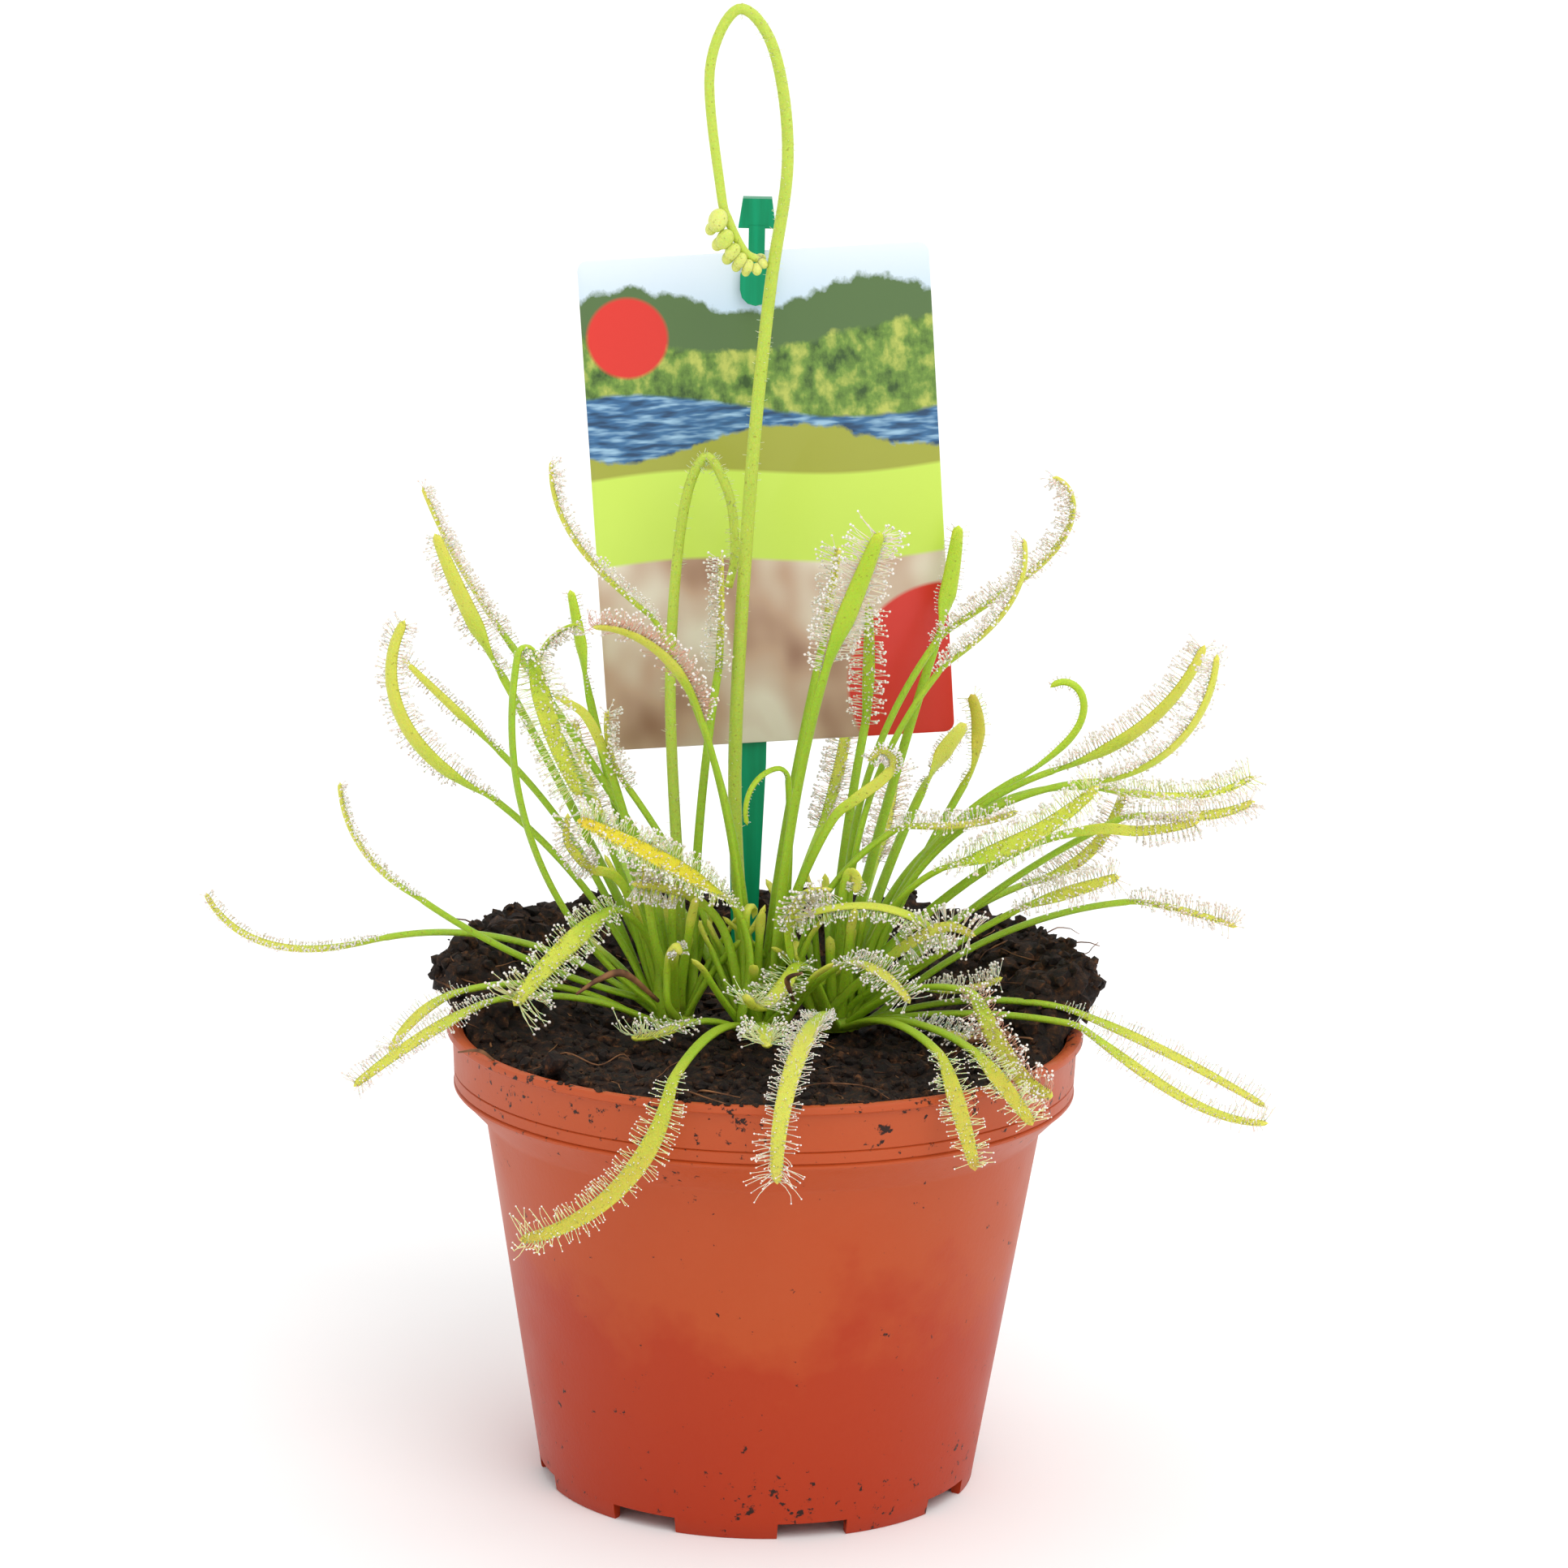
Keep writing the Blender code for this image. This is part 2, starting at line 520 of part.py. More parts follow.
def make_scapes():
    """Tall scape, turned over at the top with a row of buds, and a shorter hooked one behind it."""
    look = material("scape_green", (0.42, 0.55, 0.10), 0.5)
    start = Vector((-3.0, 5.2, 69.6))
    tall = [start, Vector((-5.0, 8, 100)), Vector((-3.6, 8, 140)), Vector((-1.4, 8, 168)),
            Vector((0.8, 8, 187)), Vector((-1.4, 8, 202)), Vector((-6.4, 8, 207.5)),
            Vector((-10.2, 8, 199)), Vector((-8.4, 8, 182.5)), Vector((-7.2, 8, 178.3)),
            Vector((-4.9, 8, 174.1)), Vector((-2.6, 8, 173.0))]
    route = smooth_path(tall, 3)
    radii = [1.0 - 0.45 * i / (len(route) - 1) for i in range(len(route))]
    bm = bmesh.new()
    ring_skin(bm, tube_rings(route, radii, 6))
    scape = finish(bm, "scape_tall", look)
    buds = []
    for i, (x, z, radius) in enumerate(BUDS):
        bm = bmesh.new()
        bmesh.ops.create_uvsphere(bm, u_segments=6, v_segments=4, radius=radius)
        bmesh.ops.scale(bm, vec=(1, 0.9, 1.25), verts=bm.verts)
        bmesh.ops.translate(bm, vec=(x, 8.5 if i % 2 else 7.5, z), verts=bm.verts)
        buds.append(finish(bm, "bud", look))
    boolean(scape, buds, "UNION")
    short = [Vector((-12.0, 4.7, 71.4)), Vector((-12.6, 4.2, 84)), Vector((-14.4, 11, 112)),
             Vector((-13.2, 14, 135)), Vector((-10.1, 14, 144.3)), Vector((-6.6, 14, 139)),
             Vector((-5.6, 13, 131)), Vector((-6.4, 12.5, 126))]
    route = smooth_path(short, 3)
    radii = [0.85 - 0.25 * i / (len(route) - 1) for i in range(len(route))]
    bm = bmesh.new()
    ring_skin(bm, tube_rings(route, radii, 6))
    finish(bm, "scape_short", look)


def extruded(name, outline, y_low, y_high, look):
    """Outline of (x from the stake's middle, z) extruded along Y."""
    bm = bmesh.new()
    front = [bm.verts.new((STAKE_X + x, y_low, z)) for x, z in outline]
    face = bm.faces.new(front)
    grown = bmesh.ops.extrude_face_region(bm, geom=[face])["geom"]
    moved = [g for g in grown if isinstance(g, bmesh.types.BMVert)]
    bmesh.ops.translate(bm, vec=(0, y_high - y_low, 0), verts=moved)
    return finish(bm, name, look)


def make_label():
    """Card and the stake that holds it by a clip over its top edge."""
    green = material("stake_green", (0.01, 0.27, 0.14), 0.4)
    white = material("label_card", (0.55, 0.68, 0.18), 0.45)
    bm = bmesh.new()
    bmesh.ops.create_cube(bm, size=1.0)
    bmesh.ops.scale(bm, vec=(CARD_WIDTH, CARD_THICKNESS, CARD_HEIGHT), verts=bm.verts)
    upright = [e for e in bm.edges if abs(e.verts[0].co.y - e.verts[1].co.y) > CARD_THICKNESS / 2]
    bmesh.ops.bevel(bm, geom=upright, offset=CARD_CORNER, segments=3, affect="EDGES", profile=0.5)
    bmesh.ops.rotate(bm, matrix=Matrix.Rotation(math.radians(-CARD_TURN_DEG), 3, "Y"), verts=bm.verts)
    bmesh.ops.translate(bm, vec=CARD_CENTRE, verts=bm.verts)
    finish(bm, "label_card", white)

    back = CARD_CENTRE[1] + CARD_THICKNESS / 2 + GAP
    front = CARD_CENTRE[1] - CARD_THICKNESS / 2 - GAP
    half = STAKE_WIDTH / 2
    outline = [(0, STAKE_POINT_Z), (half * 0.55, STAKE_SHOULDER_Z), (half, 98), (half, STAKE_STRIP_TOP_Z),
               (NECK_WIDTH / 2, STAKE_STRIP_TOP_Z + 4), (NECK_WIDTH / 2, CAP_BOTTOM_Z + 0.5)]
    outline += [(-x, z) for x, z in reversed(outline) if x]
    stake = extruded("label_stake", outline, back, back + STAKE_THICKNESS, green)
    cap = [(-CAP_BOTTOM_WIDTH / 2, CAP_BOTTOM_Z), (CAP_BOTTOM_WIDTH / 2, CAP_BOTTOM_Z),
           (CAP_TOP_WIDTH / 2, CAP_TOP_Z), (-CAP_TOP_WIDTH / 2, CAP_TOP_Z)]
    radius = TONGUE_WIDTH / 2
    tongue = [(NECK_WIDTH / 2, CAP_BOTTOM_Z + 0.4), (NECK_WIDTH / 2, 171.5), (radius, 169.2)]
    for k in range(7):
        angle = -math.pi * k / 6
        tongue.append((radius * math.cos(angle), TONGUE_BOTTOM_Z + radius + radius * math.sin(angle)))
    tongue += [(-radius, 169.2), (-NECK_WIDTH / 2, 171.5), (-NECK_WIDTH / 2, CAP_BOTTOM_Z + 0.4)]
    saddle_half = NECK_WIDTH / 2 - 0.05
    parts = [
        extruded("cap", cap, front - STAKE_THICKNESS + 0.1, back + STAKE_THICKNESS - 0.1, green),
        extruded("tongue", tongue, front - STAKE_THICKNESS, front, green),
        box("saddle", (STAKE_X - saddle_half, front - 0.5, CLIP_SADDLE_Z),
            (STAKE_X + saddle_half, back + 0.5, CAP_BOTTOM_Z + 1), green),
    ]
    boolean(stake, parts, "UNION")


def main():
    """Build every piece."""
    for old in list(bpy.data.objects):
        bpy.data.objects.remove(old)
    make_pot()
    make_peat()
    make_crown()
    green = material("blade_green", (0.55, 0.62, 0.07), 0.45)
    routes = [leaf_route(spec) for spec in LEAVES]
    for index, spec in enumerate(LEAVES):
        make_leaf(index, spec, routes, green)
    make_scapes()
    make_label()


main()
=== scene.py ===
"""Sundew in a nursery pot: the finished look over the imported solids, laid out as an add-on."""
import math
import random

import bmesh
import bpy
import numpy as np
from mathutils import Matrix, Vector, noise


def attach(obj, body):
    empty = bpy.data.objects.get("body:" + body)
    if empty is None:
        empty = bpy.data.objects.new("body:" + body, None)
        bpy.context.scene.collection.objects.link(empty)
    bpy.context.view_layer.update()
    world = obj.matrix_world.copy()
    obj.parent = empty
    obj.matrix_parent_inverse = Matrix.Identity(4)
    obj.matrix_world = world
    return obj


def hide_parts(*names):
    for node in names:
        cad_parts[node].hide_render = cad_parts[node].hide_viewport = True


bl_info = {
    "name": "Potted Sundew",
    "version": (1, 0, 0),
    "blender": (4, 5, 0),
    "location": "View3D > Sidebar > Sundew",
    "description": "Dresses a sundew, its nursery pot, peat and label over the packed solids",
    "category": "Object",
}

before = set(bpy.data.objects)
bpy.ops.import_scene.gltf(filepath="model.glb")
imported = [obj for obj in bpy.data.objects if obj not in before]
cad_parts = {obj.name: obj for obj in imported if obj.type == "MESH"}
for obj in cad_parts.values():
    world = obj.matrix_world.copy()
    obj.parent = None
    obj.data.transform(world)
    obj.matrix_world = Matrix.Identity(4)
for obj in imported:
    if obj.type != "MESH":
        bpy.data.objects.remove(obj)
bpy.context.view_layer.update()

# Lengths in this file are millimetres about the pot's axis, and make_piece turns them into the row's metres
MM = 0.001
POT_OFFSET_X = 4.4
GAP = 0.3

# Pot
POT_HEIGHT = 66.0
FOOT_RADIUS = 31.0
FOOT_COUNT = 8
FOOT_NOTCH_DEG = 18.5
FIRST_FOOT_DEG = -97.5
DRAIN_RADIUS = 2.5
DRAIN_RING_RADIUS = 21.0
# Half section as radius and height: under the base, foot, wall, step, collar, lip and back down the inside
POT_PROFILE = [(0, 2.4), (29.4, 2.4), (29.6, 2.2), (29.6, 0.2), (29.8, 0), (30.8, 0), (31.0, 0.2),
               (31.4, 2.8), (31.5, 3.4), (39.3, 52.0), (39.5, 52.5), (39.8, 52.9), (43.3, 56.5), (43.7, 56.8),
               (43.95, 57.1), (43.95, 57.4), (43.6, 57.6), (43.85, 57.8), (43.92, 59.2), (43.7, 59.35),
               (43.93, 59.5), (44.15, 64.2), (44.3, 64.6), (44.8, 64.8), (45.0, 65.0), (45.0, 65.5),
               (44.85, 65.85), (44.5, POT_HEIGHT), (43.9, POT_HEIGHT), (43.5, 65.85), (42.8, 65.4),
               (42.5, 57.5), (38.2, 52.3), (29.7, 3.6), (0, 3.6)]

# Peat: where its loose top starts, where its crust starts, its edge in the pot and the stake's place in it
PEAT_LOOSE_Z = 61.5
PEAT_CRUST_Z = 67.0
PEAT_EDGE_RADIUS = 40.8
STAKE_SPOT = (-3.4, 25.0)

# Crown
DOME_Z = 65.0
ROSETTES = {"left": (-13.0, 2.0, 6.3), "mid": (-1.5, -1.0, 6.3), "right": (10.0, 2.0, 7.5)}

# Leaves
PETIOLE_THICKNESS = 0.95
BLADE_THICKNESS = 0.8
KNEE_BLEND = 3.0
ROLL_RUN = 8.0
INNER_LEAVES = 15

# Tentacles: the lengths and the bends they are made in, in mm and radians, and the bends a blade draws from
TENTACLE_LENGTHS = (0.5, 0.9, 1.5, 2.1, 2.7, 3.4, 4.2)
TENTACLE_BENDS = (0.1, 0.5, 1.1, 2.6)
USUAL_BENDS = (0.1, 0.1, 0.1, 0.5)
TIP_BENDS = (0.5, 1.1, 1.1)
# Share that stands on the margins, and share that stands there or next to them
MARGIN_SHARE = 0.58
NEAR_SHARE = 0.84
# Dry leaves have smaller drops, and dry and loose leaves fewer tentacles, as shares of the usual ones
DRY_DROP = 0.66
THIN_DENSITY = 0.62

# Label
CARD_WIDTH = 50.0
CARD_HEIGHT = 71.0
CARD_THICKNESS = 0.6
CARD_CENTRE = (-1.2, 24.0, 137.0)
CARD_TURN_DEG = 4.5
CARD_CORNER = 1.5


def leaf(rosette, azimuth, root, petiole, root_rise, knee_rise, blade, start_rise, tip_rise, curl=1.0,
         width=2.0, veer=0.0, roll=0.0):
    """One leaf: lengths in mm, angles in degrees, a rise past 90 turns back over the crown."""
    return dict(rosette=rosette, azimuth=azimuth, root=root, petiole=petiole, root_rise=root_rise,
                knee_rise=knee_rise, blade=blade, start_rise=start_rise, tip_rise=tip_rise, curl=curl,
                width=width, veer=veer, roll=roll)


# The leaves in the order of their nodes
LEAVES = [
    # Left side, low and spreading
    leaf("left", 170, (165, 30), 38, 34, -14, 30, -17, 66, curl=2.0, width=1.8, roll=15),
    leaf("left", 192, (190, 36), 34, 16, 36, 22, 28, 88, curl=1.2, width=1.8, roll=15),
    leaf("left", 172, (180, 52), 34, 64, 36, 33, 19, 122, curl=1.4, width=2.8, roll=-60),
    leaf("left", 202, (214, 18), 21, 26, -5, 24, -20, -36, width=2.2, roll=30),
    leaf("left", 194, (198, 16), 24, 32, -10, 15, -14, -62, width=2.1, roll=30),
    leaf("left", 216, (230, 60), 14, 92, 32, 22, -24, -46, width=3.0, roll=60),
    # Left side, upright
    leaf("left", 198, (207, 42), 56, 39, 100, 25, 262, 242, width=3.0, roll=60),
    leaf("left", 156, (150, 40), 40, 70, 38, 20, 36, 38, width=1.4, roll=-100),
    leaf("left", 148, (130, 56), 49, 58, 54, 23, 52, 64, width=2.7, roll=-100),
    leaf("mid", 146, (140, 40), 60, 54, 45, 27, 43, 62, width=2.0, roll=-35),
    leaf("mid", 180, (120, 78), 53, 88, 62, 29, 38, 95, curl=2.2, width=2.1),
    leaf("left", 134, (100, 50), 42, 60, 70, 16, 76, 72, width=2.3, roll=-100),
    leaf("left", 153, (160, 72), 44, 67, 58, 14, 80, 165, width=1.4),
    leaf("mid", 205, (215, 70), 40, 90, 70, 23, 66, 4, curl=1.4, width=2.6, roll=-20),
    leaf("left", 60, (0, 66), 44, 92, 74, 17, 84, 96, width=1.7, roll=-40),
    leaf("mid", 168, (165, 60), 32, 70, 52, 12, 50, 98, width=1.7),
    leaf("mid", 15, (20, 60), 30, 82, 94, 13, 100, 285, curl=0.5, width=1.2),
    # Front, short or drooping over the rim
    leaf("mid", 207, (250, 48), 14, 108, 60, 29, 34, 26, width=3.1, roll=55),
    leaf("mid", 256, (258, 18), 37, 18, -10, 33, -64, -10, curl=1.6, width=2.8, veer=-76, roll=45),
    leaf("right", 265, (266, 16), 18, 26, 12, 40, 8, -104, curl=2.0, width=2.9, veer=-12),
    leaf("right", 236, (240, 50), 6, 60, 40, 17, -45, 75, curl=2.5, width=3.2),
    leaf("mid", 272, (280, 20), 12, 18, 8, 12, 5, 0, width=2.6),
    leaf("mid", 222, (226, 18), 6, 20, 0, 11, -20, 10, width=2.6),
    leaf("right", 322, (318, 46), 15, 34, 30, 26, 115, 206, curl=0.6, width=2.8, veer=40),
    leaf("mid", 320, (322, 25), 13, 58, 32, 14, 14, -45, width=1.9, roll=30),
    # Right side, low and spreading
    leaf("right", 345, (338, 38), 7, 36, -2, 12, -8, 32, width=1.7, roll=30),
    leaf("right", 307, (312, 30), 23, 34, 4, 23, -46, 12, curl=3.0, width=2.9, roll=60),
    leaf("right", 349, (352, 16), 24, 20, -6, 33, -18, -28, width=1.9, roll=30),
    leaf("right", 340, (339, 14), 27, 14, -4, 32, -32, 8, curl=3.0, width=1.9, roll=30),
    leaf("right", 291, (291, 16), 31, 22, -8, 19, -40, -50, width=2.5, roll=10),
    leaf("right", 300, (303, 16), 29, 20, -8, 17, -22, -26, width=2.5, roll=20),
    leaf("right", 325, (327, 16), 6, 20, -8, 11, -14, 5, width=1.8, roll=20),
    # Middle, upright
    leaf("mid", 318, (330, 62), 48, 88, 72, 23, 64, 66, width=3.0, roll=-35),
    leaf("mid", 30, (55, 72), 49, 84, 76, 14, 78, 84, width=2.1),
    leaf("right", 60, (110, 76), 35, 84, 70, 18, 82, 98, width=2.1),
    # Right side, upright
    leaf("right", 15, (10, 76), 50, 99, 54, 34, 32, 170, curl=4.5, width=2.2),
    leaf("right", 352, (320, 70), 47, 98, 54, 24, 38, 105, curl=2.2, width=2.3),
    leaf("right", 45, (75, 64), 48, 72, 66, 18, 68, 84, width=2.7, roll=-120),
    leaf("right", 35, (48, 42), 32, 62, 54, 14, 54, 120, width=2.3, roll=-110),
    leaf("right", 52, (66, 46), 29, 66, 50, 14, 50, 28, width=2.8, roll=-120),
    leaf("right", 10, (22, 54), 37, 80, 28, 22, 34, 230, curl=3.0, width=1.6, roll=-55),
    leaf("right", 0, (2, 56), 42, 82, 20, 29, 18, 72, curl=1.3, width=2.4, roll=-60),
    leaf("right", 350, (348, 52), 47, 84, 8, 28, 6, 90, width=2.4, roll=-20),
    leaf("right", 20, (40, 58), 47, 80, -6, 27, -12, 30, curl=2.5, width=1.8, roll=25),
    leaf("right", 335, (335, 58), 22, 86, 30, 28, 14, 48, width=3.0, roll=60),
    leaf("mid", 352, (5, 40), 30, 88, 34, 18, 0, 28, curl=2.0, width=2.3, roll=10),
    leaf("right", 5, (8, 38), 42, 48, 26, 20, -4, 30, curl=2.5, width=2.3, roll=30),
    leaf("right", 28, (26, 34), 27, 46, 14, 23, 0, 80, curl=1.2, width=2.4, roll=20),
    leaf("right", 350, (354, 36), 23, 42, 30, 16, 20, 22, width=2.6, roll=40),
    leaf("right", 10, (8, 20), 38, 42, 4, 17, -10, -20, width=1.5, roll=30),
    # Back, hidden behind the label
    leaf("left", 110, (95, 22), 32, 40, 20, 25, 15, 60, width=2.0),
    leaf("mid", 75, (75, 30), 34, 40, 25, 27, 20, 75, width=2.0),
    leaf("right", 80, (80, 30), 28, 38, 15, 22, 10, 50, width=2.0),
]

# Small leaves round the crown: route in mm, knee as a share of it, blade width, reach of the tentacles
SMALL_LEAVES = [
    ([(-13, 2, 68), (-16.5, 2, 82), (-20.4, 2, 95.1), (-23.5, 3, 104.1), (-26, 4, 108.7), (-28.4, 5, 110.3),
      (-30.7, 6, 111.4)], 0.7, 1.5, 0.0),
    ([(-13, 1, 68), (-17, -1, 79), (-21, -2, 86.7), (-24.5, -3, 88.3), (-26.3, -4, 89.9), (-28.2, -5, 93),
      (-28, -6, 96.9)], 0.5, 1.5, 0.5),
    ([(-3, -2, 68), (-6, -4, 80), (-10.5, -6, 85.4), (-14.8, -7.5, 87), (-18.9, -9, 87.7)], 0.55, 1.7, 0.6),
    ([(9, 2, 68), (24, 2, 83), (36, 2, 91.5), (45.7, 2, 94.3), (51.8, 2, 94.2), (56.7, 2, 94.8),
      (60.5, 2, 95.7)], 0.66, 1.7, 0.5),
    ([(-1, -1, 68), (3.6, -1.5, 84), (8.6, -2, 95.4), (11.9, -2.2, 98.8), (15.4, -2.4, 101.6),
      (17.1, -2.6, 103.7), (16.9, -2.8, 105.4), (15.4, -3, 106.1), (13.6, -3, 104.6)], 0.6, 1.7, 0.25),
    ([(9, -1, 68), (10.2, -2.4, 78), (10.6, -3, 86), (11.6, -3.4, 88.6), (12.6, -3.6, 87.4),
      (12.2, -3.7, 85.8)], 0.8, 1.9, 0.2),
    ([(-12, -2, 66), (-13.6, -8, 70.2), (-13.8, -9, 75), (-13.6, -10, 78), (-12.6, -10.6, 79.4),
      (-11.9, -11, 78.2)], 0.7, 1.8, 0.3),
    ([(-12, 0, 67), (-15, -4, 76), (-16.6, -6, 84), (-17, -6.6, 91), (-15.6, -7, 94)], 0.6, 1.6, 0.7),
    ([(8, 0, 67), (14, -5, 74), (20, -9, 80), (25, -11, 83), (29, -12, 82)], 0.45, 1.8, 0.8),
    ([(7, 0, 67), (4, -5, 75), (3, -8, 82), (5, -10, 87), (9, -11, 88)], 0.5, 1.7, 0.7),
]

# Reach of a leaf's tentacles and of those at its tip, where they differ from the usual
REACHES = {1: (0.26, 0.3), 2: (0.3, 0.3), 3: (0.6, 0.5), 4: (0.4, 0.5), 5: (0.4, 0.5), 6: (0.62, 1.6),
           7: (0.85, 0.8), 8: (0.3, 0.4), 9: (0.6, 0.5), 10: (0.55, 0.5), 11: (0.55, 0.6), 12: (0.2, 0.3),
           13: (0.6, 0.7), 14: (0.95, 0.8), 17: (0.1, 0.1), 19: (0.62, 1.15), 20: (0.52, 1.05),
           21: (0.85, 0.9), 22: (0.85, 1.2), 23: (0.85, 1.2), 28: (0.45, 0.6), 29: (0.45, 0.6),
           30: (0.6, 0.6), 31: (0.6, 0.6), 33: (0.95, 0.9), 36: (0.75, 0.6), 37: (0.75, 0.6),
           38: (0.25, 0.3), 39: (0.3, 0.4),
           40: (0.25, 0.3), 41: (0.15, 0.15), 42: (0.75, 0.6), 43: (0.75, 0.6)}
USUAL_REACH = (0.65, 0.7)

# Leaves with fewer tentacles: the dry ones have smaller drops too
DRY = (5, 12, 17, 19, 20, 28, 29, 30, 31, 38, 39, 40, 41)
LOOSE = (21, 22, 23)

# Leaves that aren't plain green: the colour of the skin, and stalks and bends for the red ones
KINDS = {6: "pale", 7: "pale", 12: "fresh", 13: "fresh", 14: "red", 17: "fresh", 18: "yellow", 19: "old",
         21: "pale", 22: "pale", 23: "pale", 24: "pale", 27: "red", 30: "old", 31: "old", 33: "fresh",
         35: "fresh", 38: "fresh", 39: "old", 41: "fresh", 44: "pale", 45: "pale"}
# The look of the tentacles' stalks where it isn't the pale one
STALKS = {"green": "stalk", "fresh": "stalk", "red": "stalk_red"}

# Route of the flower stalks, and the buds: place, half length, and the rise in which they point
TALL_SCAPE = [(-3.0, 5.2, 69.6), (-5.0, 8, 100), (-3.6, 8, 140), (-1.4, 8, 168), (0.8, 8, 187),
              (-1.4, 8, 202), (-6.4, 8, 207.5), (-10.2, 8, 199), (-8.4, 8, 182.5), (-7.2, 8, 178.3),
              (-4.9, 8, 174.1), (-2.6, 8, 173.0)]
SHORT_SCAPE = [(-12.0, 4.7, 71.4), (-12.6, 4.2, 84), (-14.4, 11, 112), (-13.2, 14, 135), (-10.1, 14, 144.3),
               (-6.6, 14, 139), (-5.6, 13, 131), (-6.4, 12.5, 126)]
# The stalks: node, route, half width at the foot and how much of it goes by the tip, colour at the foot as a
# place on the ramp, and the share of the length that is hairy
SCAPES = [("tall", TALL_SCAPE, 1.0, 0.45, 0.55, 0.56), ("short", SHORT_SCAPE, 0.85, 0.25, 0.45, 0.95)]
BUDS = [(-8.7, 7.0, 178.5, 1.7, -76), (-9.6, 8.7, 177.2, 1.05, -62), (-7.7, 7.0, 175.9, 1.5, -62),
        (-8.6, 8.4, 175.1, 1.1, -56), (-6.6, 7.1, 174.2, 1.3, -60), (-7.2, 8.5, 173.2, 1.05, -58),
        (-5.5, 7.2, 173.0, 1.15, -66), (-6.0, 8.4, 172.1, 0.9, -70), (-4.4, 7.3, 172.2, 1.0, -78),
        (-4.7, 8.4, 171.4, 0.8, -80), (-3.2, 7.4, 171.8, 0.9, -96), (-2.4, 7.7, 172.6, 0.85, -130),
        (-2.7, 8.3, 173.3, 0.75, -175)]

# Withered leaf tips and root fibres lying over the peat: route and half width
LITTER = [([(-15, -9, 71), (-19.5, -16, 76.6), (-22.7, -18, 76.4), (-26, -20, 74.6)], 0.6),
          ([(-30, -26, 66), (-27, -28, 68.4), (-22.5, -29, 67), (-19, -29, 68.6), (-17, -31, 65.6)], 0.12),
          ([(-14, -36, 65.2), (-11, -40, 66.8), (-7, -43.5, 66.6), (-5, -44.8, 66.4)], 0.14),
          ([(-9, -38, 65.4), (-8, -41.5, 67.2), (-3, -42.5, 66.6)], 0.16),
          ([(4, -34, 65.4), (8, -36, 67), (14, -35, 66.4), (17, -38, 65.6)], 0.12),
          ([(26, -16, 66), (29, -19, 69), (33, -18, 70), (35, -20, 68)], 0.5),
          ([(4, -12, 72), (3, -15, 76), (5, -17, 77.5)], 0.45),
          ([(-37, -24, 66), (-39, -25, 67.6), (-42, -23, 66.8)], 0.3)]

# Camera: the photograph is 1932 pixels square
PHOTO_SIZE = 1932.0
CAMERA_FOCAL = 6610.0
CAMERA_X = 0.002
CAMERA_DISTANCE = 0.735
CAMERA_HEIGHT = 0.260
CAMERA_PITCH_DEG = 12.25
CAMERA_ROLL_DEG = 1.15

# Lights: name, the side they come from, width of the source in degrees, strength
LAMPS = [("key", (0.45, -0.9, 1.1), 40.0, 1.0), ("top", (0.3, 0.5, 1.0), 70.0, 0.3)]
WORLD_STRENGTH = 0.92
# Half the side of the floor, in metres
FLOOR_REACH = 8.0

def direction(azimuth, rise):
    """Unit vector at the given azimuth and rise in degrees."""
    a = math.radians(azimuth)
    r = math.radians(rise)
    return Vector((math.cos(r) * math.cos(a), math.cos(r) * math.sin(a), math.sin(r)))


def leaf_angles(spec, s):
    """Azimuth and rise of a leaf at the arc length s from its root."""
    azimuth = spec["azimuth"]
    if s <= spec["petiole"]:
        t = s / spec["petiole"]
        return azimuth, spec["root_rise"] + (spec["knee_rise"] - spec["root_rise"]) * t
    t = min((s - spec["petiole"]) / spec["blade"], 1.0)
    rise = spec["start_rise"] + (spec["tip_rise"] - spec["start_rise"]) * t ** spec["curl"]
    blend = min((s - spec["petiole"]) / KNEE_BLEND, 1.0)
    azimuth += spec["veer"] * math.sin(t * math.pi / 2)
    return azimuth, spec["knee_rise"] * (1.0 - blend) + rise * blend


def leaf_face(spec, s, tangent, normal):
    """Side and upper normal of a leaf; past the knee a positive roll turns its upper face to the viewer."""
    grown = min(max((s - spec["petiole"]) / ROLL_RUN, 0.0), 1.0)
    angle = math.radians(spec["roll"]) * grown * (1 if math.cos(math.radians(spec["azimuth"])) > 0 else -1)
    normal = normal * math.cos(angle) + tangent.cross(normal) * math.sin(angle)
    return tangent.cross(normal), normal


def leaf_frames(spec, step=0.5):
    """Frames along a leaf: arc length, position, tangent, side and upper normal.

    The first six lead from the rosette's heart to the leaf's root, and their arc length is below 0.
    """
    cx, cy, dome_radius = ROSETTES[spec["rosette"]]
    total = spec["petiole"] + spec["blade"]
    count = int(total / step)
    step = total / count
    position = Vector((cx, cy, DOME_Z)) + direction(*spec["root"]) * (dome_radius + GAP)
    frames = []
    for i in range(count + 1):
        s = i * step
        azimuth, rise = leaf_angles(spec, s)
        tangent = direction(azimuth, rise)
        face = leaf_face(spec, s, tangent, direction(azimuth, rise + 90))
        frames.append((s, position.copy(), tangent, *face))
        position = position + direction(*leaf_angles(spec, s + step / 2)) * step
    root, tangent, side = frames[0][1:4]
    heart = Vector((cx, cy, DOME_Z)) + direction(spec["root"][0], 0) * 1.4
    bend = root - tangent * dome_radius * 0.6
    sheath = []
    for k in range(6):
        t = k / 6
        point = heart * (1 - t) ** 2 + bend * 2 * t * (1 - t) + root * t * t
        ahead = ((bend - heart) * (1 - t) + (root - bend) * t).normalized()
        across = (side - ahead * side.dot(ahead)).normalized()
        sheath.append((dome_radius * (t - 1), point, ahead, across, across.cross(ahead)))
    return sheath + frames


